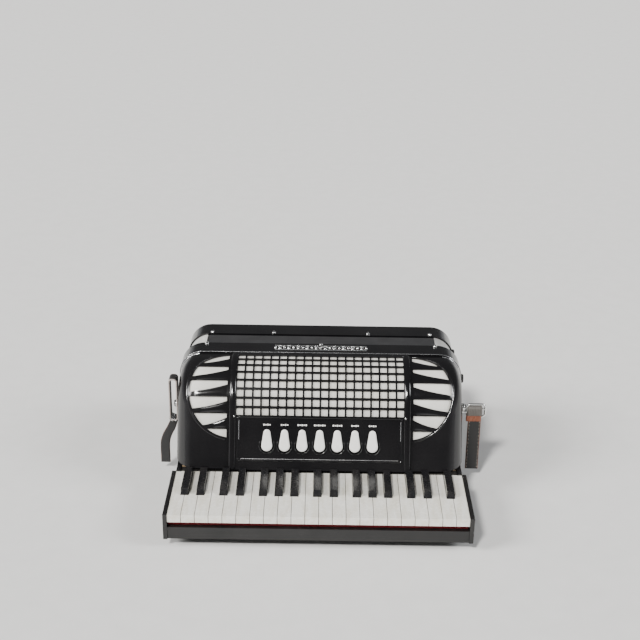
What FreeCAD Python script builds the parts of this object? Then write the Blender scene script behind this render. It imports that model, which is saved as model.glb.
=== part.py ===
"""Piano accordion with 37 keys and 96 bass buttons, lying on its back.

X runs along the keyboard from the low notes to the high ones, Y from the keyboard to the bass end, and Z
from the player's side, which rests at z = 0, to the front. The origin lies on the treble casing's back,
midway along it. Heights "up" on the grille are measured along its curve from the foot of its front wall.
"""

import FreeCAD, Part
import Sketcher
import math
import os
import re
from FreeCAD import Matrix, Placement, Rotation, Vector

doc = FreeCAD.newDocument("piano_accordion")

# ---------------------------------------------------------------- driving dimensions

SIZES = [
    ("key_pitch", 19.5, "white key to white key"),
    ("key_gap", 0.8, "gap between white keys"),
    ("key_length", 118, "white key in front of the grille"),
    ("black_length", 65, "black key in front of the grille"),
    ("black_width", 11.6, "black key width"),
    ("black_slot", 0.5, "gap beside a black key"),
    ("rear_gap", 0.2, "white key's narrow part inside its black key slot"),
    ("key_top", 56, "white key surface above the back"),
    ("key_thick", 12, "key thickness"),
    ("black_rise", 9, "black key above the white ones"),
    ("key_tail", 22, "key behind the grille's foot"),
    ("cap_side", 0.5, "black key's taper on each side"),
    ("cap_front", 4, "black key's front slope"),
    ("cap_back", 2, "black key's end in front of the grille's foot"),
    ("overlap", 1.5, "length that two fused pieces of a key share"),
    ("pivot_back", 14, "key pivot behind the grille's foot"),
    ("pivot_height", 50, "key pivot above the back"),
    ("rod_radius", 1.5, "key rod radius"),
    ("running", 0.05, "radial running clearance"),
    ("lever_width", 3, "key lever width"),
    ("lever_thick", 2.5, "key lever thickness"),
    ("lever_reach", 48, "upright lever behind the grille's foot"),
    ("pallet_width", 9.4, "pallet width"),
    ("pallet_high", 26, "pallet height"),
    ("pallet_thick", 5, "pallet with its felt"),
    ("pallet_gap", 0.3, "felt to board"),
    ("pallet_low", 82, "white keys' pallets, lower edge"),
    ("pallet_rise", 36, "black keys' pallets above those"),
    ("foot_y", -100, "grille's foot"),
    ("bed_low", 16, "keyboard bed underside"),
    ("bed_high", 35, "keyboard bed top"),
    ("felt_high", 4.5, "felt under the keys' fronts"),
    ("cheek_thick", 6, "keyboard end cheek"),
    ("case_half", 214, "bass casing half length"),
    ("case_top", 192.5, "bass casing front above its back"),
    ("case_wall", 8, "casing wall"),
    ("corner_front", 36, "bass casing front corner radius"),
    ("corner_back", 14, "casing back corner radius"),
    ("ring_half", 219.5, "treble casing half length"),
    ("ring_top", 196.5, "treble casing front above its back"),
    ("ring_corner", 38, "treble casing front corner radius"),
    ("ring_y", 124.1, "full treble casing starts behind the grille's foot"),
    ("chamber_half", 214.5, "reed chamber half length"),
    ("chamber_top", 164, "reed chamber front above the back"),
    ("chamber_wall", 7, "reed chamber wall"),
    ("chamber_corner", 36, "reed chamber front corner radius"),
    ("play", 0.1, "gap round a panel that drops into a casing"),
    ("seat", 0.05, "glue line between two pieces of one casing"),
    ("board_y", 62, "pallet board behind the grille's foot"),
    ("board_thick", 6, "pallet board thickness"),
    ("case_end", 149.5, "treble casing end behind the grille's foot"),
    ("frame_thick", 8, "bellows frame thickness"),
    ("frame_width", 16, "bass bellows frame width"),
    ("ring_frame", 21, "treble bellows frame width"),
    ("frame_corner", 6, "bellows frame inner back corner radius"),
    ("closure_thick", 4.9, "board that closes the casing round the reed chamber"),
    ("tray_wall", 6.5, "side wall beside the levers"),
    ("tray_front", 38, "front wall under the keys"),
    ("grille_half", 217.5, "grille half length"),
    ("grille_skin", 2, "grille sheet"),
    ("grille_foot", 60, "grille foot above the back"),
    ("grille_end", 124, "grille's rear edge behind its foot"),
    ("grille_corner", 34, "grille end corner radius"),
    ("wall_angle", 66, "grille front wall slope in degrees"),
    ("wall_run", 97.5, "grille front wall, straight length"),
    ("crown_radius", 80, "grille crown radius"),
    ("panel_half", 136.5, "raised middle half length"),
    ("panel_rise", 2.5, "raised middle above the ends"),
    ("grid_pitch", 12.7, "square opening pitch along"),
    ("grid_rise", 14, "square opening pitch up the curve"),
    ("grid_square", 10.3, "square opening side"),
    ("grid_first", 87.6, "lowest row up from the foot"),
    ("fan_edge", 140.2, "fan opening inner edge"),
    ("fan_centre_x", 130, "fan outline centre along"),
    ("fan_centre_up", 118.5, "fan outline centre up from the foot"),
    ("fan_reach", 68, "fan outline half width along"),
    ("fan_rise", 71, "fan outline below its centre"),
    ("fan_rise_high", 77, "fan outline above its centre"),
    ("fan_neck", 6.4, "fan opening height at its inner edge"),
    ("fan_mouth", 18.4, "fan opening height at its outline"),
    ("cloth_thick", 0.6, "grille cloth"),
    ("cloth_gap", 4, "grille cloth behind the grille sheet"),
    ("cloth_half", 198.5, "grille cloth half length"),
    ("register_pitch", 26.4, "register switch pitch"),
    ("register_low", 28.5, "switch lower end up from the foot"),
    ("register_length", 33, "switch length"),
    ("register_wide", 8.2, "switch lower end radius"),
    ("register_narrow", 5.2, "switch upper end radius"),
    ("register_thick", 4, "switch thickness"),
    ("register_stand", 2.2, "switch above the panel"),
    ("register_pivot", 51.5, "switch pivot up from the foot"),
    ("register_rod", 1.2, "switch rod radius"),
    ("register_depth", 4.5, "switch rod below the panel"),
    ("register_block", 8, "switch housing behind the panel"),
    ("well_radius", 11, "finger well radius"),
    ("well_depth", 3.5, "finger well depth"),
    ("reed_long", 384, "treble reed block length"),
    ("reed_deep", 55, "treble reed block depth"),
    ("reed_wide", 24, "treble reed block width"),
    ("bellows_length", 43.5, "closed bellows"),
    ("bellows_inset", 2.5, "bellows inside the bass casing's outline"),
    ("bellows_fold", 24, "fold depth"),
    ("fold_gap", 0.6, "groove between two folds"),
    ("bass_depth", 86, "bass casing with its frame"),
    ("bass_wall", 6, "bass casing wall"),
    ("bass_step", 96, "bass casing height at its end"),
    ("bass_crest", 36, "bass casing's full height part"),
    ("bass_ledge", 147, "button board's upper edge"),
    ("plate_thick", 4, "bass end plate"),
    ("plate_drop", 6.3, "bass end plate's upper edge below the button board"),
    ("button_pitch", 18, "bass button pitch along"),
    ("button_lean", 5, "offset of each row of buttons"),
    ("button_row", 10.4, "bass button row pitch"),
    ("button_first", 10, "first row below the button board's upper edge"),
    ("button_radius", 3.8, "bass button radius"),
    ("button_hole", 4.15, "bass button hole radius"),
    ("button_proud", 6, "bass button above its board"),
    ("button_long", 18, "bass button length"),
    ("button_board", 4, "bass button board"),
    ("air_radius", 7, "air button radius"),
    ("air_x", -197, "air button along"),
    ("air_z", 48, "air button above the back"),
    ("strap_high", 31, "bass strap arch above the end plate"),
    ("strap_thick", 4, "bass strap thickness"),
    ("strap_width", 56, "bass strap width"),
    ("strap_low", 20, "bass strap lower edge"),
    ("strap_span", 182, "bass strap half span"),
    ("strap_tab", 22, "bass strap end tab"),
    ("pin_radius", 2.8, "bellows pin head radius"),
    ("pin_proud", 2, "bellows pin head height"),
    ("stud_y", -3, "strap stud along Y"),
    ("stud_z", 120, "strap stud above the back"),
    ("stud_radius", 3, "strap stud radius"),
    ("stud_end", 226.4, "strap stud's outer end"),
    ("wire", 1.7, "strap ring wire radius"),
    ("leather", 3, "strap leather thickness"),
    ("leather_width", 20.4, "strap leather width"),
    ("rubber_radius", 6, "foot radius"),
    ("rubber_high", 5, "foot height"),
]
ALIASES = {alias for alias, _, _ in SIZES}

sheet = doc.addObject("Spreadsheet::Sheet", "Sizes")
for row, (alias, value, note) in enumerate(SIZES, start=1):
    sheet.set(f"A{row}", note)
    sheet.set(f"B{row}", str(value))
    sheet.setAlias(f"B{row}", alias)
doc.recompute()

LETTERS = "CDEFGAB"
FIRST_LETTER = LETTERS.index("G")
FIRST_OCTAVE = 3
WHITE_KEYS = 22
BLACK_SHIFT = {"C": -2.3, "D": 2.3, "F": -3.3, "G": 0.0, "A": 3.3}
GRID_COLUMNS = 20
GRID_ROWS = 8
FAN_TOPS = (61, 84.4, 109.3, 135.5, 161.8, 187.9)
REGISTERS = 7
FOLDS = 16
BUTTON_COLUMNS = 16
BUTTON_ROWS = 6
BASS_ROWS = 2
HOUSING_LOW = 18
HOUSING_HIGH = 70
CLOTH_LOW = 44
REED_LEVELS = (16, 52, 88, 124)
BASS_REED_LEVELS = (40, 100)

parts = {}


# ---------------------------------------------------------------- helpers


def val(alias):
    """A driving dimension as a number."""
    return float(sheet.get(alias))


def formula(text):
    """Points each driving dimension named in an expression at its cell."""

    def cell(match):
        word = match.group()
        return "Sizes." + word if word in ALIASES else word

    return re.sub(r"[a-z_]+", cell, str(text))


probe = doc.addObject("App::FeaturePython", "Probe")
probe.addProperty("App::PropertyFloat", "Number")


def number(text):
    """What an expression in driving dimensions comes to."""
    probe.setExpression("Number", formula(text))
    probe.recompute()
    return probe.Number


def bind(item, **formulas):
    """Binds properties to expressions; a double underscore stands for a dot."""
    for path, text in formulas.items():
        item.setExpression(path.replace("__", "."), formula(text))
    return item


def place(item, at):
    """Binds an object's position to three expressions."""
    return bind(item, Placement__Base__x=at[0], Placement__Base__y=at[1], Placement__Base__z=at[2])


def box(name, size, at):
    item = doc.addObject("Part::Box", name)
    bind(item, Length=size[0], Width=size[1], Height=size[2])
    return place(item, at)


def cylinder(name, radius, height, at, along=Vector(0, 0, 1)):
    item = doc.addObject("Part::Cylinder", name)
    item.Placement.Rotation = Rotation(Vector(0, 0, 1), along)
    bind(item, Radius=radius, Height=height)
    return place(item, at)


def cut(name, base, tool):
    item = doc.addObject("Part::Cut", name)
    item.Base, item.Tool = base, tool
    return item


def fuse(name, shapes):
    item = doc.addObject("Part::MultiFuse", name)
    item.Shapes = shapes
    return item


def group(name, pieces):
    """Several separate solids that make one sub-part."""
    item = doc.addObject("Part::Compound", name)
    item.Links = pieces
    return item


def built(name, shape):
    """A curved sheet or leather shape that neither a body nor a primitive can make."""
    item = doc.addObject("Part::Feature", name)
    item.Shape = shape
    return item


def keep(node, item):
    """Names a finished sub-part after its node."""
    item.Label = node
    parts[node] = item


def sketch_on(body, name, role):
    """A sketch on one of a body's own origin planes."""
    sketch = body.newObject("Sketcher::SketchObject", name)
    plane = next(f for f in body.Origin.OriginFeatures if f.Role == role)
    sketch.AttachmentSupport = [(plane, "")]
    sketch.MapMode = "FlatFace"
    return sketch


def dimension(sketch, kind, where, size, text):
    index = sketch.addConstraint(Sketcher.Constraint(kind, *where, size))
    sketch.setExpression(f"Constraints[{index}]", formula(text))


def rounded_outline(sketch, half, low, high, r_low, r_high):
    """A rectangle about the sketch's vertical axis with rounded corners, its sizes bound to expressions."""
    w, b, t, rb, rt = (number(text) for text in (half, low, high, r_low, r_high))
    lines = [
        ((-w + rb, b), (w - rb, b)),
        ((w, b + rb), (w, t - rt)),
        ((w - rt, t), (-w + rt, t)),
        ((-w, t - rt), (-w, b + rb)),
    ]
    arcs = [(w - rb, b + rb, rb), (w - rt, t - rt, rt), (-w + rt, t - rt, rt), (-w + rb, b + rb, rb)]
    for i in range(4):
        ends = [Vector(x, y, 0) for x, y in lines[i]]
        sketch.addGeometry(Part.LineSegment(*ends), False)
        x, y, radius = arcs[i]
        circle = Part.Circle(Vector(x, y, 0), Vector(0, 0, 1), radius)
        sketch.addGeometry(Part.ArcOfCircle(circle, (i - 1) * math.pi / 2, i * math.pi / 2), False)
    for i in range(8):
        sketch.addConstraint(Sketcher.Constraint("Tangent", i, 2, (i + 1) % 8, 1))
    for line, way in ((0, "Horizontal"), (2, "Vertical"), (4, "Horizontal"), (6, "Vertical")):
        sketch.addConstraint(Sketcher.Constraint(way, line))
    for arc, radius, text in ((1, rb, r_low), (3, rt, r_high), (5, rt, r_high), (7, rb, r_low)):
        dimension(sketch, "Radius", (arc,), radius, text)
    dimension(sketch, "DistanceX", (2, 1), w, half)
    dimension(sketch, "DistanceX", (6, 1), -w, f"-({half})")
    dimension(sketch, "DistanceY", (0, 1), b, low)
    dimension(sketch, "DistanceY", (4, 1), t, high)


def slab(name, far_y, thick, outline, hole=None):
    """A plate with a rounded outline that ends at far_y, with an optional rounded hole through it."""
    body = doc.addObject("PartDesign::Body", name)
    outer = sketch_on(body, name + "_outline", "XZ_Plane")
    rounded_outline(outer, *outline)
    pad = body.newObject("PartDesign::Pad", name + "_pad")
    pad.Profile = outer
    bind(pad, Length=thick)
    if hole:
        inner = sketch_on(body, name + "_inner", "XZ_Plane")
        rounded_outline(inner, *hole)
        pocket = body.newObject("PartDesign::Pocket", name + "_pocket")
        pocket.Profile = inner
        pocket.Type = "ThroughAll"
        pocket.Midplane = True
        body.Tip = pocket
    return bind(body, Placement__Base__y=far_y)


def side_profile(name, corners, length):
    """A polygon in Y and Z, its corners bound to pairs of expressions, drawn out along X both ways."""
    body = doc.addObject("PartDesign::Body", name)
    sketch = sketch_on(body, name + "_profile", "YZ_Plane")
    points = [Vector(number(y), number(z), 0) for y, z in corners]
    count = len(points)
    for i in range(count):
        sketch.addGeometry(Part.LineSegment(points[i], points[(i + 1) % count]), False)
    for i in range(count):
        sketch.addConstraint(Sketcher.Constraint("Coincident", i, 2, (i + 1) % count, 1))
    for i, (y, z) in enumerate(corners):
        for kind, size, text in (("DistanceX", points[i].x, y), ("DistanceY", points[i].y, z)):
            if abs(size) < 1e-6:
                axis = -2 if kind == "DistanceX" else -1
                sketch.addConstraint(Sketcher.Constraint("PointOnObject", i, 1, axis))
            else:
                dimension(sketch, kind, (i, 1), size, text)
    pad = body.newObject("PartDesign::Pad", name + "_pad")
    pad.Profile = sketch
    pad.Midplane = True
    bind(pad, Length=length)
    return body


# ---------------------------------------------------------------- keyboard


def key_layout():
    """Every key from low to high: name, colour, front edges and the lane its tail keeps to."""
    whites = []
    for i in range(WHITE_KEYS):
        letter = LETTERS[(FIRST_LETTER + i) % 7]
        octave = FIRST_OCTAVE + (FIRST_LETTER + i) // 7
        name = f"key_{letter.lower()}{octave}"
        whites.append({"name": name, "letter": letter, "index": i, "black": False})
    keys = []
    for key in whites:
        keys.append(key)
        if key["letter"] in BLACK_SHIFT and key["index"] < WHITE_KEYS - 1:
            boundary = f"({key['index'] + 1 - WHITE_KEYS / 2}*key_pitch)"
            shift = BLACK_SHIFT[key["letter"]]
            keys.append({"name": sharp_name(key), "black": True, "centre": f"({boundary}+({shift}))"})
    for place_in_row, key in enumerate(keys):
        if key["black"]:
            key["tail"] = key["centre"]
            continue
        left = f"({key['index'] - WHITE_KEYS / 2}*key_pitch+key_gap/2)"
        right = f"({key['index'] + 1 - WHITE_KEYS / 2}*key_pitch-key_gap/2)"
        key["left"], key["right"] = left, right
        half_slot = "(black_width/2+black_slot)"
        before = keys[place_in_row - 1] if place_in_row else None
        after = keys[place_in_row + 1] if place_in_row + 1 < len(keys) else None
        key["tail_left"] = f"({before['centre']}+{half_slot})" if before and before["black"] else left
        key["tail_right"] = f"({after['centre']}-{half_slot})" if after and after["black"] else right
        key["cut_left"] = bool(before and before["black"])
        key["cut_right"] = bool(after and after["black"])
        if before is None:
            key["tail_left"] = "(-(chamber_half-tray_wall)+1)"
        if after is None:
            key["tail_right"] = "(chamber_half-tray_wall-1)"
        key["tail"] = f"(({key['tail_left']}+{key['tail_right']})/2)"
    return keys


def sharp_name(key):
    """The name of the black key after a white one."""
    letter, octave = key["name"][-2], key["name"][-1]
    return f"key_{letter}sharp{octave}"


def pallet_low(key):
    return "(pallet_low+pallet_rise)" if key["black"] else "pallet_low"


def make_key(key):
    """A key on its rod, with the lever behind it and the felted pallet that the lever lifts."""
    name, tail = key["name"], key["tail"]
    under = "key_top-key_thick"
    if key["black"]:
        left = f"{key['centre']}-black_width/2"
        stick = box(f"{name}_stick", ("black_width", "black_length+key_tail-black_slot", "key_thick"),
                    (left, "foot_y-black_length+black_slot", under))
        cap = doc.addObject("Part::Wedge", f"{name}_cap")
        bind(cap, Xmin="0", Xmax="black_width", X2min="cap_side", X2max="black_width-cap_side",
             Ymin="0", Ymax="black_rise", Zmin="0", Zmax="black_length-cap_back-black_slot",
             Z2min="0", Z2max="black_length-cap_back-black_slot-cap_front")
        cap.Placement.Rotation = Rotation(Matrix(1, 0, 0, 0, 0, 0, -1, 0, 0, 1, 0, 0, 0, 0, 0, 1))
        place(cap, (left, "foot_y-cap_back", "key_top"))
        solids = [stick, cap]
    else:
        left, right = rear_left(key), rear_right(key)
        front = box(f"{name}_front",
                    (f"{key['right']}-{key['left']}", "key_length-black_length-black_slot", "key_thick"),
                    (key["left"], "foot_y-key_length", under))
        rear = box(f"{name}_rear", (f"{right}-{left}", "black_length+black_slot-2*rear_gap", "key_thick"),
                   (left, "foot_y-black_length-black_slot-rear_gap", under))
        stick = box(f"{name}_tail",
                    (f"{key['tail_right']}-{key['tail_left']}", "key_tail+overlap", "key_thick"),
                    (key["tail_left"], "foot_y-overlap", under))
        solids = [front, rear, stick]
    lever_left = f"{tail}-lever_width/2"
    arm = box(f"{name}_arm", ("lever_width", "lever_reach-key_tail+2*overlap", "lever_thick"),
              (lever_left, "foot_y+key_tail-2*overlap", "key_top-lever_thick"))
    middle = f"({pallet_low(key)}+pallet_high/2)"
    upright = box(f"{name}_upright",
                  ("lever_width", "lever_thick", f"{middle}+1.5*lever_thick-key_top"),
                  (lever_left, "foot_y+lever_reach", "key_top-lever_thick"))
    pallet_y = "foot_y+board_y-pallet_gap-pallet_thick"
    link = box(f"{name}_link",
               ("lever_width", "board_y-pallet_gap-pallet_thick-lever_reach+overlap", "lever_thick"),
               (lever_left, "foot_y+lever_reach", f"{middle}-lever_thick/2"))
    pallet = box(f"{name}_pallet", ("pallet_width", "pallet_thick", "pallet_high"),
                 (f"{tail}-pallet_width/2", pallet_y, pallet_low(key)))
    whole = fuse(f"{name}_whole", solids + [arm, upright, link, pallet])
    bore = cylinder(f"{name}_bore", "rod_radius+running", "key_pitch+2",
                    (f"{tail}-key_pitch/2-1", "foot_y+pivot_back", "pivot_height"), Vector(1, 0, 0))
    keep(name, cut(f"{name}_finished", whole, bore))


def rear_left(key):
    return key["tail_left"] if key["cut_left"] else key["left"]


def rear_right(key):
    return key["tail_right"] if key["cut_right"] else key["right"]


def make_keyboard_bed():
    """The board under the keys, its felt, and the cheeks at its ends."""
    half = f"({WHITE_KEYS / 2}*key_pitch)"
    bed = box("bed_board", (f"2*{half}", "key_length-2", "bed_high-bed_low"),
              (f"-{half}", "foot_y-key_length+1", "bed_low"))
    front_felt = box("bed_felt", (f"2*{half}-2", "14", "felt_high"),
                     (f"-{half}+1", "foot_y-key_length+8", "bed_high"))
    cheeks = []
    for side in (-1, 1):
        edge = f"({half}+play)" if side > 0 else f"(-{half}-play-cheek_thick)"
        cheeks.append(box(f"cheek_{side + 1}", ("cheek_thick", "key_length+1", "key_top+1-bed_low"),
                          (edge, "foot_y-key_length-1", "bed_low")))
    keep("keyboard_bed", group("keyboard_bed_group", [bed, front_felt] + cheeks))


def make_key_axle():
    rod = cylinder("rod", "rod_radius", "2*(chamber_half-1)",
                   ("-(chamber_half-1)", "foot_y+pivot_back", "pivot_height"), Vector(1, 0, 0))
    keep("key_axle", rod)


# ---------------------------------------------------------------- treble casing


def make_treble_case(keys):
    outline = ("ring_half", "0", "ring_top", "corner_back", "ring_corner")
    ring = slab("case_ring", "foot_y+case_end", "case_end-ring_y", outline,
                ("ring_half-case_wall", "case_wall", "ring_top-case_wall",
                 "corner_back-case_wall", "ring_corner-case_wall"))
    inner = ("chamber_half-chamber_wall", "chamber_wall", "chamber_top-chamber_wall",
             "corner_back-chamber_wall", "chamber_corner-chamber_wall")
    chamber = slab("chamber", "foot_y+ring_y", "ring_y-board_y",
                   ("chamber_half", "0", "chamber_top", "corner_back", "chamber_corner"), inner)
    closure = slab("chamber_closure", "foot_y+ring_y+closure_thick+play", "closure_thick",
                   ("ring_half-case_wall-play", "case_wall+play", "ring_top-case_wall-play",
                    "corner_back-case_wall", "ring_corner-case_wall-play"), inner)
    board = slab("pallet_board", "foot_y+board_y+board_thick", "board_thick",
                 ("chamber_half-chamber_wall-play", "chamber_wall+play", "chamber_top-chamber_wall-play",
                  "corner_back-chamber_wall-play", "chamber_corner-chamber_wall-play"))
    holes = []
    for key in keys:
        holes.append(box(f"{key['name']}_air_hole", ("pallet_width-4", "board_thick+2", "pallet_high-6"),
                         (f"{key['tail']}-pallet_width/2+2", "foot_y+board_y-1", f"{pallet_low(key)}+3")))
    board_cut = cut("pallet_board_holes", board, fuse("air_holes", holes))
    frame = slab("treble_frame", "foot_y+case_end+frame_thick", "frame_thick-seat", outline,
                 ("ring_half-ring_frame", "frame_width", "ring_top-ring_frame",
                  "frame_corner", "ring_corner-ring_frame"))
    inside = "(chamber_half-tray_wall-seat)"
    tray = box("tray_back", (f"2*{inside}", "board_y-seat", "case_wall"), (f"-{inside}", "foot_y", "0"))
    front = box("tray_front_wall", (f"2*{inside}", "case_wall", "tray_front-case_wall-seat"),
                (f"-{inside}", "foot_y", "case_wall+seat"))
    sides = []
    for side in (-1, 1):
        edge = "-chamber_half" if side < 0 else "chamber_half-tray_wall"
        wall = box(f"tray_side_{side + 1}", ("tray_wall", "board_y-seat", "key_top+2"),
                   (edge, "foot_y", "0"))
        hole = cylinder(f"tray_side_hole_{side + 1}", "rod_radius+running", "tray_wall+2",
                        (f"{edge}-1", "foot_y+pivot_back", "pivot_height"), Vector(1, 0, 0))
        sides.append(cut(f"tray_side_bored_{side + 1}", wall, hole))
    places = (-179, 0, 179)
    fittings = pins("treble_pin", "foot_y+case_end+frame_thick/2", places, "ring_half", "ring_top")
    fittings += studs()
    fittings += [rubber_foot("treble_foot_back", "ring_half", "37", "40"),
                 rubber_foot("treble_foot_front", "ring_half", "37", "150")]
    keep("treble_case", group("treble_case_group",
                              [ring, chamber, closure, board_cut, frame, tray, front] + sides + fittings))


def pins(name, y, places, half, top):
    """Heads of the pins that hold a bellows frame: some along the front and two on each end."""
    heads = []
    for i, x in enumerate(places):
        heads.append(cylinder(f"{name}_front_{i}", "pin_radius", "pin_proud", (str(x), y, f"{top}+seat")))
    for side in (-1, 1):
        for i, z in enumerate((50, 150)):
            heads.append(cylinder(f"{name}_end_{side + 1}_{i}", "pin_radius", "pin_proud",
                                  (f"{side}*({half}+seat)", y, str(z)), Vector(side, 0, 0)))
    return heads


def studs():
    """The two studs that the strap rings swing on, each fixed in the end of the reed chamber."""
    made = []
    for side in (-1, 1):
        root = f"{side}*(chamber_half+seat)"
        shaft = cylinder(f"stud_shaft_{side + 1}", "stud_radius", "stud_end-chamber_half",
                         (root, "stud_y", "stud_z"), Vector(side, 0, 0))
        base = cylinder(f"stud_base_{side + 1}", "stud_radius+4", "1.5",
                        (f"{side}*(grille_half+0.1)", "stud_y", "stud_z"), Vector(side, 0, 0))
        head = cylinder(f"stud_head_{side + 1}", "stud_radius+1.8", "2",
                        (f"{side}*(stud_end-2)", "stud_y", "stud_z"), Vector(side, 0, 0))
        made.append(fuse(f"stud_{side + 1}", [base, shaft, head]))
    return made


def rubber_foot(name, half, y, z):
    """A rubber foot on the end that stands on the floor when the instrument is set upright."""
    return cylinder(name, "rubber_radius", "rubber_high", (f"{half}+seat", y, z), Vector(1, 0, 0))


# ---------------------------------------------------------------- grille


def on_grille(x, up, depth=0.0):
    """A place on the raised middle's surface, or below it: point, way up the curve, outward normal."""
    slope = math.radians(val("wall_angle"))
    run, radius = val("wall_run"), val("crown_radius")
    start = slope
    straight = min(up, run)
    y = val("foot_y") + straight * math.cos(start)
    z = val("grille_foot") + straight * math.sin(start)
    if up > run:
        slope = start - (up - run) / radius
        flat = 0.0
        if slope < 0:
            flat = -slope * radius
            slope = 0.0
        y += radius * (math.sin(start) - math.sin(slope)) + flat
        z += radius * (math.cos(slope) - math.cos(start))
    along = Vector(0, math.cos(slope), math.sin(slope))
    normal = Vector(0, -math.sin(slope), math.cos(slope))
    return Vector(x, y, z) - normal * depth, along, normal


def grille_solid(depth, half, corner, rear, low):
    """The grille's outline filled in, its surface a depth below the raised middle's."""
    slope = math.radians(val("wall_angle"))
    run, radius = val("wall_run"), val("crown_radius")
    foot = on_grille(0, 0, depth)[0]
    below = (low - foot.z) / math.sin(slope)
    start = on_grille(0, 0, depth)[0] + Vector(0, math.cos(slope), math.sin(slope)) * below
    turn = on_grille(0, run, depth)[0]
    middle = on_grille(0, run + radius * slope / 2, depth)[0]
    top = on_grille(0, run + radius * slope, depth)[0]
    back = Vector(0, rear, top.z)
    bottom = Vector(0, rear, low)
    edges = [
        Part.makeLine(start, turn),
        Part.Arc(turn, middle, top).toShape(),
        Part.makeLine(top, back),
        Part.makeLine(back, bottom),
        Part.makeLine(bottom, start),
    ]
    face = Part.Face(Part.Wire(edges))
    face.translate(Vector(-half, 0, 0))
    solid = face.extrude(Vector(2 * half, 0, 0))
    rims = []
    for edge in solid.Edges:
        span = edge.BoundBox
        flat_end = abs(span.XMax - span.XMin) < 1e-6
        at_rear = abs(span.YMin - rear) < 1e-6 and abs(span.YMax - rear) < 1e-6
        on_curve = span.ZMax > low + 1 and not at_rear
        if flat_end and on_curve:
            rims.append(edge)
    return solid.makeFillet(corner, rims)


def plane_at(x, up, depth=0.0):
    """A placement whose X is along the instrument, Y up the grille and Z out of it."""
    point, along, normal = on_grille(x, up, depth)
    return Placement(Matrix(1, 0, 0, point.x,
                            0, along.y, normal.y, point.y,
                            0, along.z, normal.z, point.z,
                            0, 0, 0, 1))


def panel_block(x, up_low, up_high, half, deep, high):
    """A block square to the grille, from deep below the raised middle's surface to high above it."""
    middle = (up_low + up_high) / 2
    corner = Vector(-half, (up_low - up_high) / 2, -deep)
    block = Part.makeBox(2 * half, up_high - up_low, deep + high, corner)
    block.Placement = plane_at(x, middle)
    return block


def fan_outline(up):
    """How far out the fan's round outline lies at a height."""
    rise = val("fan_rise_high") if up > val("fan_centre_up") else val("fan_rise")
    share = (up - val("fan_centre_up")) / rise
    return val("fan_centre_x") + val("fan_reach") * math.sqrt(max(1 - share ** 2, 0))


def fan_opening(index):
    """The corners of a fan opening on the +X side, as (x, up) pairs."""
    inner, neck, mouth = val("fan_edge"), val("fan_neck"), val("fan_mouth")
    share = (inner - val("fan_centre_x")) / val("fan_reach")
    lift = math.sqrt(1 - share ** 2)
    topmost = index == len(FAN_TOPS) - 1
    high = val("fan_centre_up") + val("fan_rise_high") * lift if topmost else FAN_TOPS[index]
    if index == 0:
        low = val("fan_centre_up") - val("fan_rise") * lift
        corners = [(inner, high)]
    else:
        low = FAN_TOPS[index] - mouth
        corners = [(inner, high), (inner, FAN_TOPS[index] - neck)]
        for i in range(1, 5):
            share = i / 5
            sag = 1.6 * math.sin(math.pi * share)
            drop = neck + (mouth - neck) * share + sag
            corners.append((inner + (fan_outline(low) - inner) * share, FAN_TOPS[index] - drop))
    steps = 7
    ups = [low + (high - low) * i / steps for i in range(steps + 1)]
    arc = [(fan_outline(up), up) for up in ups]
    return corners + (arc[:-1] if topmost else arc)


def fan_cutter(index, side):
    corners = fan_opening(index)
    middle = sum(up for _, up in corners) / len(corners)
    points = [Vector(side * x, up - middle, -9) for x, up in corners]
    face = Part.Face(Part.makePolygon(points + points[:1]))
    prism = face.extrude(Vector(0, 0, 12))
    prism.Placement = plane_at(0, middle)
    return prism


def teardrop(grow, thick, low):
    """A register switch's outline on the XY plane, wide end down, grown by a clearance."""
    wide, narrow = val("register_wide") + grow, val("register_narrow") + grow
    low_y = val("register_low") + val("register_wide") - val("register_pivot")
    high_y = val("register_low") + val("register_length") - val("register_narrow") - val("register_pivot")
    lean = math.asin((wide - narrow) / (high_y - low_y))
    out = Vector(math.cos(lean), math.sin(lean), 0)
    other = Vector(-out.x, out.y, 0)
    low_c, high_c = Vector(0, low_y, 0), Vector(0, high_y, 0)
    edges = [
        Part.makeLine(low_c + out * wide, high_c + out * narrow),
        Part.Arc(high_c + out * narrow, high_c + Vector(0, narrow, 0), high_c + other * narrow).toShape(),
        Part.makeLine(high_c + other * narrow, low_c + other * wide),
        Part.Arc(low_c + other * wide, low_c - Vector(0, wide, 0), low_c + out * wide).toShape(),
    ]
    face = Part.Face(Part.Wire(edges))
    face.translate(Vector(0, 0, low))
    return face.extrude(Vector(0, 0, thick))


def register_x(index):
    return (index - (REGISTERS - 1) / 2) * val("register_pitch")


def at_switch(shape, index):
    shape.Placement = plane_at(register_x(index), val("register_pivot")).multiply(shape.Placement)
    return shape


def housing_half():
    """Half the length of the switches' housing."""
    return 3.9 * val("register_pitch")


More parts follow.
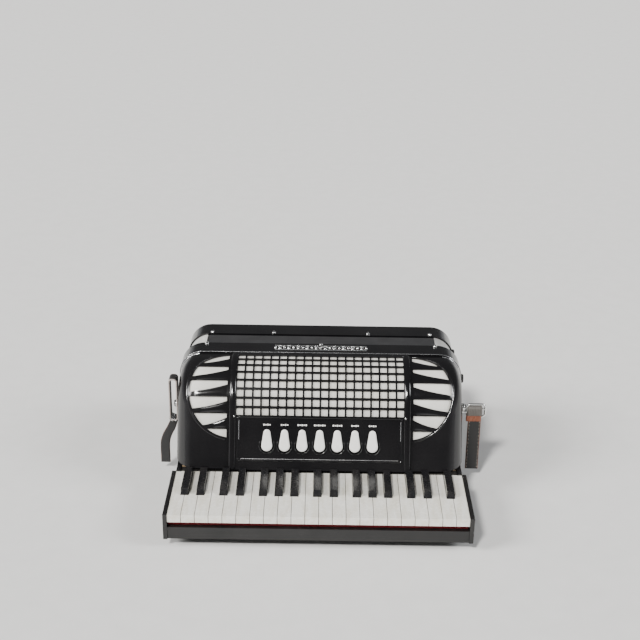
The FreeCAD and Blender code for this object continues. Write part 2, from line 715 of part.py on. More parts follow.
def make_grille():
    rise, skin = val("panel_rise"), val("grille_skin")
    rear, low = val("foot_y") + val("grille_end"), val("grille_foot")
    half, corner, panel = val("grille_half"), val("grille_corner"), val("panel_half")
    outer = grille_solid(rise, half, corner, rear, low)
    raised = grille_solid(0, panel, rise - 0.1, rear, low)
    hollow = grille_solid(rise + skin, half - skin, corner - skin, rear + 1, low - 1)
    raised_hollow = grille_solid(skin, panel - skin, 0.4, rear + 1, low - 1)
    shell = outer.fuse(raised).cut(hollow).cut(raised_hollow)
    depth = skin + val("register_block")
    housing = panel_block(0, HOUSING_LOW, HOUSING_HIGH, housing_half(), depth, -0.2)
    shell = shell.fuse(housing)
    tools = []
    for i in range(REGISTERS):
        pocket = teardrop(0.6, 6, -5)
        lug = Part.makeBox(6.6, 7.2, 8, Vector(-3.3, -3.6, -7.6))
        well_y = val("register_low") + val("register_wide") - val("register_pivot")
        well_base = Vector(0, well_y, -val("well_depth"))
        well = Part.makeCylinder(val("well_radius"), val("well_depth") + 3, well_base)
        tools += [at_switch(pocket, i), at_switch(lug, i), at_switch(well, i)]
    first = val("grid_first")
    square = val("grid_square") / 2
    for r in range(GRID_ROWS):
        up = first + r * val("grid_rise")
        for c in range(GRID_COLUMNS):
            x = (c - (GRID_COLUMNS - 1) / 2) * val("grid_pitch")
            tools.append(panel_block(x, up - square, up + square, square, 4, 3))
    for side in (-1, 1):
        for i in range(len(FAN_TOPS)):
            tools.append(fan_cutter(i, side))
        stud_hole = Vector(side * (half - 6), val("stud_y"), val("stud_z"))
        tools.append(Part.makeCylinder(val("stud_radius") + 1, 12, stud_hole, Vector(side, 0, 0)))
    shell = shell.cut(tools)
    rods = []
    for i in range(REGISTERS):
        rod_end = Vector(-4.5, 0, -val("register_depth"))
        rod = Part.makeCylinder(val("register_rod"), 9, rod_end, Vector(1, 0, 0))
        rods.append(at_switch(rod, i))
    shell = shell.fuse(rods)
    keep("treble_grille", built("grille_shell", shell.removeSplitter()))


def cloth_sheet(up_low, up_high, x_low, x_high):
    """A sheet that follows the grille just behind it."""
    near = val("panel_rise") + val("grille_skin") + val("cloth_gap")
    far = near + val("cloth_thick")
    run = val("wall_run")
    crest = run + val("crown_radius") * math.radians(val("wall_angle"))
    stops = [up_low] + [up for up in (run, crest) if up_low < up < up_high] + [up_high]
    edges = []
    for depth, ups in ((near, stops), (far, stops[::-1])):
        for a, b in zip(ups, ups[1:]):
            p, q = on_grille(x_low, a, depth)[0], on_grille(x_low, b, depth)[0]
            middle = on_grille(x_low, (a + b) / 2, depth)[0]
            curved = min(a, b) >= run and max(a, b) <= crest
            edges.append(Part.Arc(p, middle, q).toShape() if curved else Part.makeLine(p, q))
        other_side = on_grille(x_low, ups[-1], near + far - depth)[0]
        edges.append(Part.makeLine(edges[-1].lastVertex().Point, other_side))
    return Part.Face(Part.Wire(Part.__sortEdges__(edges))).extrude(Vector(x_high - x_low, 0, 0))


def make_cloth():
    """The cloth behind the squares and the fans, in three pieces that meet beside the switch housing."""
    edge = val("cloth_half")
    inner = housing_half() + 1
    top = val("wall_run") + val("crown_radius") * math.radians(val("wall_angle")) + 6.5
    pieces = [
        cloth_sheet(HOUSING_HIGH + 1, top, -edge, edge),
        cloth_sheet(CLOTH_LOW, HOUSING_HIGH + 0.9, inner, edge),
        cloth_sheet(CLOTH_LOW, HOUSING_HIGH + 0.9, -edge, -inner),
    ]
    sheets = [built(f"cloth_{i}", piece) for i, piece in enumerate(pieces)]
    keep("grille_cloth", group("grille_cloth_group", sheets))


def make_registers():
    for i in range(REGISTERS):
        under = val("register_stand") - val("register_thick")
        paddle = teardrop(0, val("register_thick"), under)
        deep = val("register_depth") + 2.2
        lug = Part.makeBox(6, 6, deep + under + 0.5, Vector(-3, -3, -deep))
        bore_end = Vector(-5, 0, -val("register_depth"))
        bore = Part.makeCylinder(val("register_rod") + val("running"), 10, bore_end, Vector(1, 0, 0))
        switch = at_switch(paddle.fuse(lug).cut(bore), i)
        keep(f"register_{i + 1}", built(f"switch_{i + 1}", switch))


# ---------------------------------------------------------------- reeds and bellows


def make_treble_reeds():
    blocks = []
    for i, level in enumerate(REED_LEVELS):
        blocks.append(box(f"reed_block_{i}", ("reed_long", "reed_deep", "reed_wide"),
                          ("-reed_long/2", "foot_y+board_y+board_thick+0.1", str(level))))
    keep("treble_reed_blocks", group("treble_reed_group", blocks))


def make_bellows():
    start = "foot_y+case_end+frame_thick"
    outline = ("case_half-bellows_inset", "bellows_inset", "case_top-bellows_inset",
               "corner_back", "corner_front")
    hole = ("case_half-bellows_fold", "bellows_fold", "case_top-bellows_fold", "5", "5")
    groove = 3
    core_outline = tuple(f"{text}{sign}{groove}" for text, sign in zip(outline, "-+---"))
    core = slab("bellows_core", f"{start}+bellows_length-seat", "bellows_length-0.1", core_outline, hole)
    folds = [core]
    for i in range(FOLDS):
        far = f"{start}+bellows_length/{FOLDS}*{i + 1}-fold_gap/2"
        folds.append(slab(f"fold_{i}", far, f"bellows_length/{FOLDS}-fold_gap", outline, hole))
    keep("bellows", fuse("bellows_folds", folds))


# ---------------------------------------------------------------- bass side

BASS_START = "(foot_y+case_end+frame_thick+bellows_length)"


def board_direction():
    """The button board's own directions: down the slope, and outward."""
    drop = val("bass_ledge") - val("bass_step")
    run = val("bass_depth") - val("bass_crest")
    length = math.hypot(drop, run)
    return Vector(0, run / length, -drop / length), Vector(0, drop / length, run / length)


def make_bass_case():
    shell = slab("bass_outer", f"{BASS_START}+bass_depth", "bass_depth-frame_thick-seat",
                 ("case_half", "0", "case_top", "corner_back", "corner_front"))
    hollow = slab("bass_inner", f"{BASS_START}+bass_depth+1", "bass_depth-frame_thick+2",
                  ("case_half-bass_wall", "bass_wall", "case_top-bass_wall", "corner_back-bass_wall",
                   "corner_front-bass_wall"))
    far = f"{BASS_START}+bass_depth+5"
    slope = "((bass_ledge-bass_step)/(bass_depth-bass_crest))"
    crest = f"{BASS_START}+bass_crest"
    above = side_profile("above_board",
                         [(crest, "case_top+5"), (crest, "bass_ledge"),
                          (far, f"bass_step-5*{slope}"), (far, "case_top+5")],
                         "2*case_half+4")
    inset = "button_board"
    drop = f"{inset}*sqrt(1+{slope}^2)"
    inner_ledge = f"bass_ledge+{inset}*{slope}-{drop}"
    inner_step = f"bass_step-5*{slope}-{drop}"
    under = side_profile("under_board",
                         [(f"{crest}-{inset}", "case_top+5"), (f"{crest}-{inset}", inner_ledge),
                          (far, inner_step), (far, "case_top+5")],
                         "2*case_half+4")
    body = cut("bass_shell_body", cut("bass_outline", shell, above), cut("bass_cavity", hollow, under))
    holes = Part.makeCompound(button_shapes(range(BUTTON_ROWS), val("button_hole"), 30, 60))
    casing = cut("bass_casing", body, built("button_holes", holes))
    frame = slab("bass_frame", f"{BASS_START}+frame_thick", "frame_thick",
                 ("case_half", "0", "case_top", "corner_back", "corner_front"),
                 ("case_half-frame_width", "frame_width", "case_top-frame_width",
                  "frame_corner", "corner_front-frame_width"))
    board = slab("bass_sound_board", f"{BASS_START}+frame_thick+4", "4-play",
                 ("case_half-bass_wall-play", "bass_wall+play", "case_top-bass_wall-play",
                  "corner_back-bass_wall-play", "corner_front-bass_wall-play"))
    vents = []
    for i, level in enumerate(BASS_REED_LEVELS):
        for j in range(12):
            vents.append(box(f"bass_vent_{i}_{j}", ("16", "8", "14"),
                             (f"{(j - 5.5) * 27 - 8}", f"{BASS_START}+frame_thick-1", f"{level + 8}")))
    sound_board = cut("bass_sound_board_vents", board, fuse("bass_vents", vents))
    places = (-175, -75.7, 75.7, 175)
    fittings = pins("bass_pin", f"{BASS_START}+frame_thick/2", places, "case_half", "case_top")
    fittings += [rubber_foot("bass_foot_back", "case_half", f"{BASS_START}+46", "40"),
                 rubber_foot("bass_foot_front", "case_half", f"{BASS_START}+26", "150")]
    keep("bass_case", group("bass_case_group", [casing, frame, sound_board] + fittings))


def button_shapes(rows, radius, out, deep):
    """Cylinders square to the button board, from deep below its face to out above it."""
    down, normal = board_direction()
    upper = Vector(0, number(BASS_START) + val("bass_crest"), val("bass_ledge"))
    made = []
    for r in rows:
        for c in range(BUTTON_COLUMNS):
            x = (c - (BUTTON_COLUMNS - 1) / 2) * val("button_pitch")
            x += (r - (BUTTON_ROWS - 1) / 2) * val("button_lean")
            centre = upper + down * (val("button_first") + r * val("button_row")) + Vector(x, 0, 0)
            made.append(Part.makeCylinder(radius, out + deep, centre - normal * deep, normal))
    return made


def make_buttons():
    proud = val("button_proud")
    deep = val("button_long") - proud
    for node, rows in (("bass_buttons", range(BUTTON_ROWS - BASS_ROWS, BUTTON_ROWS)),
                       ("chord_buttons", range(BUTTON_ROWS - BASS_ROWS))):
        stems = []
        for stem in button_shapes(rows, val("button_radius"), proud, deep):
            rims = [e for e in stem.Edges if isinstance(e.Curve, Part.Circle)]
            down, normal = board_direction()
            top = max(rims, key=lambda e: e.CenterOfMass.dot(normal))
            stems.append(stem.makeFillet(1.2, [top]))
        keep(node, group(f"{node}_group", [built(f"{node}_stem_{i}", s) for i, s in enumerate(stems)]))


def make_end_plate():
    """The cover over the bass mechanism, with its slots and the air button's hole."""
    inset = "(bass_wall+play)"
    plate = slab("end_cover", f"{BASS_START}+bass_depth", "plate_thick",
                 (f"case_half-{inset}", inset, "bass_step-plate_drop", f"corner_back-{inset}", "4"))
    tools = [cylinder("air_hole", "air_radius+0.4", "plate_thick+4",
                      ("air_x", f"{BASS_START}+bass_depth-plate_thick-2", "air_z"), Vector(0, 1, 0))]
    for i in range(15):
        tools.append(box(f"plate_slot_{i}", ("14", "plate_thick+4", "3.2"),
                         (f"{(i - 7) * 22 - 7}", f"{BASS_START}+bass_depth-plate_thick-2", "80")))
    keep("bass_end_plate", cut("end_cover_holes", plate, fuse("end_cover_tools", tools)))


def make_air_button():
    stem = cylinder("air_stem", "air_radius", "16",
                    ("air_x", f"{BASS_START}+bass_depth-10", "air_z"), Vector(0, 1, 0))
    flange = cylinder("air_flange", "air_radius+2", "2",
                      ("air_x", f"{BASS_START}+bass_depth-12", "air_z"), Vector(0, 1, 0))
    keep("air_button", fuse("air_parts", [stem, flange]))


def make_bass_strap():
    """The leather band over the end plate, held down by a screwed tab at each end."""
    base = number(BASS_START) + val("bass_depth") + val("seat")
    span, tab, high, thick = val("strap_span"), val("strap_tab"), val("strap_high"), val("strap_thick")
    rise = 62.0

    def lift(x):
        share = min(max((span - tab - abs(x)) / rise, 0), 1)
        return (high - thick) * share * share * (3 - 2 * share)

    xs = [-span + (2 * span) * i / 60 for i in range(61)]
    lower = [Vector(x, base + lift(x), 0) for x in xs]
    upper = []
    for i, p in enumerate(lower):
        before, after = lower[max(i - 1, 0)], lower[min(i + 1, 60)]
        run = (after - before).normalize()
        upper.append(p + Vector(-run.y, run.x, 0) * thick)
    low_curve, high_curve = Part.BSplineCurve(), Part.BSplineCurve()
    low_curve.interpolate(lower)
    high_curve.interpolate(upper)
    outline = [low_curve.toShape(), Part.makeLine(lower[-1], upper[-1]),
               high_curve.toShape(), Part.makeLine(upper[0], lower[0])]
    face = Part.Face(Part.Wire(Part.__sortEdges__(outline)))
    face.translate(Vector(0, 0, val("strap_low")))
    band = face.extrude(Vector(0, 0, val("strap_width")))
    screws = []
    for side in (-1, 1):
        for z in (14, val("strap_width") - 14):
            at = Vector(side * (span - tab / 2), base + thick + val("seat"), val("strap_low") + z)
            screws.append(Part.makeCylinder(5, 1.6, at, Vector(0, 1, 0)))
    keep("bass_strap", group("bass_strap_group", [built("strap_band", band)] +
                             [built(f"strap_screw_{i}", s) for i, s in enumerate(screws)]))


def make_bass_reeds():
    blocks = []
    for i, level in enumerate(BASS_REED_LEVELS):
        blocks.append(box(f"bass_block_{i}", ("340", "44", "30"),
                          ("-170", f"{BASS_START}+frame_thick-44.1", str(level))))
    keep("bass_reed_blocks", group("bass_reed_group", blocks))


# ---------------------------------------------------------------- shoulder strap fittings


def rounded_path(x_low, x_high, z_low, z_high, corner, y):
    """A rounded rectangle in X and Z, from the start of its corner at x_high and z_low."""
    quarter = corner * math.sqrt(0.5)
    corners = [(x_high - corner, z_low + corner, 1, -1), (x_high - corner, z_high - corner, 1, 1),
               (x_low + corner, z_high - corner, -1, 1), (x_low + corner, z_low + corner, -1, -1)]
    ends = []
    for cx, cz, sx, sz in corners:
        on_side = Vector(cx + sx * corner, y, cz)
        on_bar = Vector(cx, y, cz + sz * corner)
        middle = Vector(cx + sx * quarter, y, cz + sz * quarter)
        ends.append((on_bar, middle, on_side) if sx * sz < 0 else (on_side, middle, on_bar))
    edges = []
    for i, (first, middle, last) in enumerate(ends):
        edges.append(Part.Arc(first, middle, last).toShape())
        edges.append(Part.makeLine(last, ends[(i + 1) % 4][0]))
    return Part.Wire(edges)


def wire_ring(x_low, x_high, z_low, z_high, corner, y, radius):
    """A round wire bent into a rounded rectangle in X and Z, and closed."""
    path = rounded_path(x_low, x_high, z_low, z_high, corner, y)
    section = Part.makeCircle(radius, Vector(x_high - corner, y, z_low), Vector(1, 0, 0))
    return path.makePipeShell([Part.Wire([section])], True, True)


def flat_band(outer, inner, y, width):
    """A band as wide as given in Y, between two rounded rectangles of (x low, x high, z low, z high, corner)."""
    face = Part.Face(rounded_path(*outer, y + width / 2)).cut(Part.Face(rounded_path(*inner, y + width / 2)))
    return face.extrude(Vector(0, -width, 0))


def folded_leather(x_low, x_high, y, top, bend, front_low, back_low):
    """A strap folded over at its top, with one end in front and the other behind."""
    outer, inner = bend + val("leather") / 2, bend - val("leather") / 2
    places = [(-outer, front_low), (-outer, top), (outer, top), (outer, back_low),
              (inner, back_low), (inner, top), (-inner, top), (-inner, front_low)]
    points = [Vector(x_low, y + offset, z) for offset, z in places]
    edges = []
    for i, point in enumerate(points):
        following = points[(i + 1) % len(points)]
        if point.z == following.z == top:
            crown = Vector(x_low, y, top + abs(point.y - y))
            edges.append(Part.Arc(point, crown, following).toShape())
        else:
            edges.append(Part.makeLine(point, following))
    return Part.Face(Part.Wire(edges)).extrude(Vector(x_high - x_low, 0, 0))


RING_INNER = 228.4
RING_OUTER = 257
COLLAR_START = 220.6
COLLAR_RADIUS = 6.4
LOOP = (-233.5, -220, 94, 166, 5)
LOOP_INSIDE = (-231.3, -222.2, 96.2, 163.8, 2.8)
LOOP_WIDTH = 20
CLIP = (-234.7, -218.8, 92.8, 167.2, 6.2)
TAIL = ((-233, 92.8), (-222, 92.8), (-225, 81), (-234, 59), (-236, 42), (-236, 14),
        (-251, 14), (-251, 44), (-248, 61), (-240, 79))


def collar(side):
    """The eyelet that turns on a stud behind the stud's head."""
    y, z = val("stud_y"), val("stud_z")
    outer = Part.makeCylinder(COLLAR_RADIUS, 3.2, Vector(side * COLLAR_START, y, z), Vector(side, 0, 0))
    hole_start = Vector(side * (COLLAR_START - 1.6), y, z)
    hole = Part.makeCylinder(val("stud_radius") + val("running"), 6, hole_start, Vector(side, 0, 0))
    return outer, hole


def make_strap_bottom():
    """Floor end: a buckle on the stud, the strap folded over its bar and hanging in front of it."""
    y, z, wire = val("stud_y"), val("stud_z"), val("wire")
    bar = z - 2.5
    outer, hole = collar(1)
    lug = Part.makeBox(RING_INNER - COLLAR_START, 3, 5, Vector(COLLAR_START, y - 1.5, z - 10.5))
    cross = Part.makeCylinder(wire, RING_OUTER - RING_INNER, Vector(RING_INNER, y, bar), Vector(1, 0, 0))
    buckle = wire_ring(RING_INNER, RING_OUTER, bar - 13.5, bar + 8, 6, y, wire)
    buckle = buckle.fuse([cross, outer, lug]).cut(hole)
    bend = wire + val("leather") / 2 + 0.15
    middle, half = 240.8, val("leather_width") / 2
    strap = folded_leather(middle - half, middle + half, y, bar, bend, 14, bar - 26)
    keep("strap_end_bottom",
         group("strap_bottom_group", [built("buckle", buckle), built("leather_bottom", strap)]))


def make_strap_top():
    """Chin end: a leather loop with an eyelet on the stud, a clip round its foot and the strap's tail."""
    y, z = val("stud_y"), val("stud_z")
    outer, hole = collar(-1)
    loop = flat_band(LOOP, LOOP_INSIDE, y, LOOP_WIDTH)
    loop = loop.cut(Part.makeCylinder(COLLAR_RADIUS, 4, Vector(-219, y, z), Vector(-1, 0, 0)))
    corner = Vector(-236, y - LOOP_WIDTH, 92)
    clip = flat_band(CLIP, LOOP, y, LOOP_WIDTH).common(Part.makeBox(14, 2 * LOOP_WIDTH, 20, corner))
    points = [Vector(x, y + val("leather") / 2, z) for x, z in TAIL]
    tail = Part.Face(Part.makePolygon(points + points[:1])).extrude(Vector(0, -val("leather"), 0))
    keep("strap_end_top",
         group("strap_top_group", [built("eyelet", outer.cut(hole)), built("leather_loop", loop),
                                   built("loop_clip", clip), built("strap_tail", tail)]))


# ---------------------------------------------------------------- build and write

KEYS = key_layout()
for each in KEYS:
    make_key(each)
make_keyboard_bed()
make_key_axle()
make_treble_case(KEYS)
make_grille()
make_cloth()
make_registers()
make_treble_reeds()
make_bellows()
make_bass_case()
make_buttons()
make_end_plate()
make_air_button()
make_bass_strap()
make_bass_reeds()
make_strap_bottom()
make_strap_top()

doc.recompute()
for item in doc.Objects:
    if "Invalid" in item.State or "Error" in item.State:
        raise RuntimeError(f"{item.Label} did not build: {item.State}")
os.makedirs("parts", exist_ok=True)
for node, item in parts.items():
    if item.Shape.isNull() or not item.Shape.isValid():
        raise RuntimeError(f"{node} is not a valid shape")
    if not item.Shape.Solids:
        raise RuntimeError(f"{node} has no solid")
    item.Shape.exportStep(f"parts/{node}.step")
    span = item.Shape.BoundBox
    print(f"{node}: {len(item.Shape.Solids)} solids, {item.Shape.Volume / 1000:.1f} cm3,",
          f"X {span.XMin:.1f} {span.XMax:.1f}, Y {span.YMin:.1f} {span.YMax:.1f},",
          f"Z {span.ZMin:.1f} {span.ZMax:.1f}")
print(len(parts), "parts")
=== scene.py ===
"""Looks of the piano accordion: materials, trim, cloth, bellows, leather and chrome on the CAD frame."""

import math
import bmesh
import bpy
from mathutils import Matrix, Vector


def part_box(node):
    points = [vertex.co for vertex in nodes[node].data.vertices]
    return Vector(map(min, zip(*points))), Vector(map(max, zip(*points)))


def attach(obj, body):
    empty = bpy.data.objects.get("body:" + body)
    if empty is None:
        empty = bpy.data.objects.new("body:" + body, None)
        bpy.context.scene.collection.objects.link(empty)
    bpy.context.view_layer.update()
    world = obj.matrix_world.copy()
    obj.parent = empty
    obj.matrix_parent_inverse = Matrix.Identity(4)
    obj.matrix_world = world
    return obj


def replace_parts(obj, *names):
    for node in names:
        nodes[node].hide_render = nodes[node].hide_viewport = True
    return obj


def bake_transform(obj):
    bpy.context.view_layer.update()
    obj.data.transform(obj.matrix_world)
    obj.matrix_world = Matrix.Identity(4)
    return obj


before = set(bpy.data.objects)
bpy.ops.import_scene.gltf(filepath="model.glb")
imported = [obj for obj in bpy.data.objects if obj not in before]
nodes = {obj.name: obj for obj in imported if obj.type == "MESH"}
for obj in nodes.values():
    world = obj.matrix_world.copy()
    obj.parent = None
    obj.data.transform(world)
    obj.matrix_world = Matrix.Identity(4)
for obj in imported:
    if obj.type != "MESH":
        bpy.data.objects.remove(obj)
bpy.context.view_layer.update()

MM = 0.001
ACROSS, BACK, UP = Vector((1, 0, 0)), Vector((0, 1, 0)), Vector((0, 0, 1))


def steps(low, high, count):
    """Evenly spaced numbers from low to high, count steps apart."""
    return [low + (high - low) * i / count for i in range(count + 1)]


def rounded_rect(low_x, high_x, low, high, r_low, r_high, count):
    """Points round a rectangle, anticlockwise from its lower right, with count steps in each corner."""
    points = []
    corners = ((high_x - r_low, low + r_low, r_low, -90), (high_x - r_high, high - r_high, r_high, 0),
               (low_x + r_high, high - r_high, r_high, 90), (low_x + r_low, low + r_low, r_low, 180))
    for cx, cy, r, start in corners:
        for i in range(count + 1):
            turn = math.radians(start + 90 * i / count)
            points.append((cx + r * math.cos(turn), cy + r * math.sin(turn)))
    return points


# ---- sizes, in metres, from the frame

grille_low, grille_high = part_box("treble_grille")
case_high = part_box("treble_case")[1]
bellows_low, bellows_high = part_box("bellows")
bass_low, bass_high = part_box("bass_case")

FOOT_Y = grille_low.y
FOOT_Z = grille_low.z
GRILLE_END = grille_high.y
GRILLE_HALF = grille_high.x
WALL_ANGLE = math.radians(66)
WALL_RUN = 97.5 * MM
CROWN = 80 * MM
CROWN_UP = WALL_RUN + CROWN * WALL_ANGLE
RISE = 2.5 * MM
GRILLE_CORNER = 34 * MM
CASE_TOP = bass_high.z - 2.02 * MM
CASE_HALF = 214 * MM
CASE_CORNER = 36 * MM
RING_HALF = 219.5 * MM
RING_TOP = 196.5 * MM
RING_CORNER = 38 * MM
BACK_CORNER = 14 * MM
FRAME_THICK = 8 * MM
STUD_Y = -3 * MM
STUD_Z = 120 * MM
SWITCH_PITCH = 26.4 * MM
SWITCH_LOW = 28.5 * MM
SWITCH_LENGTH = 33 * MM
SWITCH_WIDE = 8.2 * MM
SWITCH_NARROW = 5.2 * MM
SWITCH_PIVOT = 51.5 * MM
SWITCHES = 7


def on_grille(x, up, lift=0.0):
    """A place on the raised middle's surface: point, direction up the curve, outward normal."""
    slope = WALL_ANGLE
    straight = min(up, WALL_RUN)
    y = FOOT_Y + straight * math.cos(slope)
    z = FOOT_Z + straight * math.sin(slope)
    if up > WALL_RUN:
        slope = max(WALL_ANGLE - (up - WALL_RUN) / CROWN, 0.0)
        y += CROWN * (math.sin(WALL_ANGLE) - math.sin(slope)) + max(up - CROWN_UP, 0.0)
        z += CROWN * (math.cos(slope) - math.cos(WALL_ANGLE))
    along = Vector((0, math.cos(slope), math.sin(slope)))
    normal = Vector((0, -math.sin(slope), math.cos(slope)))
    return Vector((x, y, z)) + normal * lift, along, normal


# ---- material helpers


class Nodes:
    """A material's node tree with short calls for the nodes used here."""

    def __init__(self, name):
        self.material = bpy.data.materials.new(name)
        self.material.use_nodes = True
        self.tree = self.material.node_tree
        self.shader = self.tree.nodes["Principled BSDF"]
        self.place = self.add("ShaderNodeTexCoord").outputs["Object"]

    def add(self, kind, **settings):
        node = self.tree.nodes.new(kind)
        for key, value in settings.items():
            setattr(node, key, value)
        return node

    def link(self, source, target):
        self.tree.links.new(source, target)

    def set(self, **values):
        for key, value in values.items():
            self.shader.inputs[key.replace("_", " ")].default_value = value
        return self

    def scaled(self, x, y, z):
        mapping = self.add("ShaderNodeMapping")
        mapping.inputs["Scale"].default_value = (x, y, z)
        self.link(self.place, mapping.inputs["Vector"])
        return mapping.outputs["Vector"]

    def noise(self, scale, detail=4.0, rough=0.55, stretch=(1, 1, 1)):
        node = self.add("ShaderNodeTexNoise")
        node.inputs["Scale"].default_value = scale
        node.inputs["Detail"].default_value = detail
        node.inputs["Roughness"].default_value = rough
        self.link(self.scaled(*stretch) if stretch != (1, 1, 1) else self.place, node.inputs["Vector"])
        return node.outputs["Fac"]

    def voronoi(self, scale):
        node = self.add("ShaderNodeTexVoronoi")
        node.inputs["Scale"].default_value = scale
        self.link(self.place, node.inputs["Vector"])
        return node.outputs["Distance"]

    def wave(self, scale, direction, distortion):
        node = self.add("ShaderNodeTexWave", bands_direction=direction)
        node.inputs["Scale"].default_value = scale
        node.inputs["Distortion"].default_value = distortion
        node.inputs["Detail"].default_value = 1.0
        self.link(self.place, node.inputs["Vector"])
        return node.outputs["Fac"]

    def ramp(self, source, low, high, first, last):
        node = self.add("ShaderNodeMapRange", clamp=True)
        for key, value in (("From Min", low), ("From Max", high), ("To Min", first), ("To Max", last)):
            node.inputs[key].default_value = value
        self.link(source, node.inputs["Value"])
        return node.outputs["Result"]

    def math(self, operation, first, second):
        node = self.add("ShaderNodeMath", operation=operation)
        for i, value in enumerate((first, second)):
            if isinstance(value, (int, float)):
                node.inputs[i].default_value = value
            else:
                self.link(value, node.inputs[i])
        return node.outputs["Value"]

    def mix(self, factor, first, second):
        node = self.add("ShaderNodeMix", data_type="RGBA")
        self.link(factor, node.inputs["Factor"])
        for key, value in (("A", first), ("B", second)):
            socket = next(s for s in node.inputs if s.name == key and s.type == "RGBA")
            if isinstance(value, tuple):
                socket.default_value = (*value, 1)
            else:
                self.link(value, socket)
        return next(s for s in node.outputs if s.type == "RGBA")

    def axis(self, name):
        node = self.add("ShaderNodeSeparateXYZ")
        self.link(self.place, node.inputs[0])
        return node.outputs[name]

    def attribute(self, name):
        return self.add("ShaderNodeAttribute", attribute_name=name).outputs["Fac"]

    def color(self, source):
        self.link(source, self.shader.inputs["Base Color"])
        return self

    def rough(self, source):
        self.link(source, self.shader.inputs["Roughness"])
        return self

    def bump(self, *layers):
        """Each layer is (height, depth in metres); later layers lie over earlier ones."""
        below = None
        for height, depth in layers:
            node = self.add("ShaderNodeBump")
            node.inputs["Distance"].default_value = depth
            self.link(height, node.inputs["Height"])
            if below:
                self.link(below, node.inputs["Normal"])
            below = node.outputs["Normal"]
        self.link(below, self.shader.inputs["Normal"])
        return self


def celluloid(name, base, worn, gloss=0.1):
    """Polished celluloid over wood: gloss, faint waviness, hairline scratches and dull handled patches."""
    m = Nodes(name).set(Coat_Weight=0.12, Coat_Roughness=0.06)
    broad = m.noise(9, 3)
    hair = m.noise(60, 6, 0.7, stretch=(1, 14, 9))
    specks = m.noise(900, 2, 0.5)
    m.color(m.mix(m.ramp(broad, 0.35, 0.75, 0, 1), base, worn))
    dull = m.math("ADD", m.ramp(broad, 0.3, 0.8, gloss, gloss + 0.12), m.ramp(hair, 0.55, 0.75, 0, 0.1))
    m.rough(m.math("ADD", dull, m.ramp(specks, 0.6, 0.8, 0, 0.12)))
    m.bump((broad, 0.0006), (hair, 0.00002))
    return m.material


def ivory(name, base, aged, gloss=0.22):
    """White or black moulded plastic with faint streaks, age and finger polish."""
    m = Nodes(name).set(Coat_Weight=0.25, Coat_Roughness=0.15)
    streak = m.noise(40, 5, 0.6, stretch=(3, 0.6, 3))
    cloud = m.noise(25, 3)
    m.color(m.mix(m.ramp(m.math("ADD", streak, cloud), 0.75, 1.3, 0, 1), base, aged))
    m.rough(m.ramp(m.noise(180, 3), 0.3, 0.7, gloss, gloss + 0.14))
    m.bump((m.noise(320, 3), 0.00003))
    return m.material


def chrome(name, tint=(0.83, 0.83, 0.82), rough=0.1):
    """Plated metal with a few dull spots and fine polishing marks."""
    m = Nodes(name).set(Metallic=1.0)
    spots = m.noise(420, 5, 0.7)
    m.color(m.mix(m.ramp(spots, 0.6, 0.8, 0, 1), tint, tuple(c * 0.6 for c in tint)))
    marks = m.ramp(m.noise(70, 3), 0.3, 0.8, rough, rough + 0.12)
    m.rough(m.math("ADD", marks, m.ramp(spots, 0.62, 0.75, 0, 0.25)))
    m.bump((m.noise(1500, 2, 0.5, stretch=(1, 6, 1)), 0.00001))
    return m.material


def weave(name, base, shade):
    """Plain woven cloth, its threads along X and up the grille."""
    m = Nodes(name).set(Roughness=0.85, Sheen_Weight=0.25)
    thread_pitch = 1.1 * MM
    turn = math.pi / (10 * thread_pitch)
    across = m.wave(turn, "X", 0.4)
    along = m.wave(turn, "Z", 0.4)
    threads = m.math("MULTIPLY", across, along)
    blotch = m.noise(22, 5, 0.6)
    tone = m.math("ADD", m.ramp(threads, 0, 1, 0.0, 0.45), m.ramp(blotch, 0.35, 0.7, 0.0, 0.55))
    m.color(m.mix(tone, shade, base))
    m.bump((threads, 0.0001))
    return m.material


def leather(name, base, edge, scale=900):
    """Grained leather; the wear attribute shows the brown underneath at edges and folds."""
    m = Nodes(name).set(Coat_Weight=0.12, Coat_Roughness=0.35)
    grain = m.voronoi(scale)
    crease = m.noise(110, 6, 0.65)
    rub = m.math("ADD", m.attribute("wear"), m.ramp(m.noise(160, 5, 0.7), 0.35, 0.8, -0.35, 0.35))
    creased = m.mix(crease, base, tuple(c * 1.9 + 0.004 for c in base))
    m.color(m.mix(m.ramp(rub, 0.35, 0.85, 0, 1), creased, edge))
    m.rough(m.math("ADD", m.ramp(crease, 0.3, 0.7, 0.38, 0.6), m.ramp(rub, 0.4, 0.9, 0, 0.25)))
    m.bump((grain, 0.00012), (crease, 0.0003))
    return m.material


def card(name):
    """Cloth-covered bellows card, its raised fold edges rubbed by use."""
    m = Nodes(name).set(Roughness=0.72, Sheen_Weight=0.15)
    fibre = m.noise(1400, 3, 0.6, stretch=(1, 0.4, 1))
    cloud = m.noise(30, 4)
    worn = m.math("MULTIPLY", m.attribute("wear"), m.ramp(cloud, 0.3, 0.7, 0.35, 1.0))
    ground = m.mix(m.ramp(fibre, 0.3, 0.7, 0, 1), (0.006, 0.006, 0.007), (0.015, 0.015, 0.017))
    m.color(m.mix(worn, ground, (0.04, 0.04, 0.042)))
    m.bump((fibre, 0.00008))
    return m.material


def wood(name, light, dark):
    """Planed spruce with long grain and fine pores."""
    m = Nodes(name)
    rings = m.noise(35, 6, 0.6, stretch=(0.25, 3, 3))
    pores = m.noise(700, 3, 0.6, stretch=(0.1, 1, 1))
    tone = m.math("ADD", rings, m.ramp(pores, 0.5, 0.8, 0, 0.3))
    m.color(m.mix(m.ramp(tone, 0.35, 0.95, 0, 1), light, dark))
    m.rough(m.ramp(pores, 0.3, 0.7, 0.5, 0.7))
    m.bump((pores, 0.00008))
    return m.material


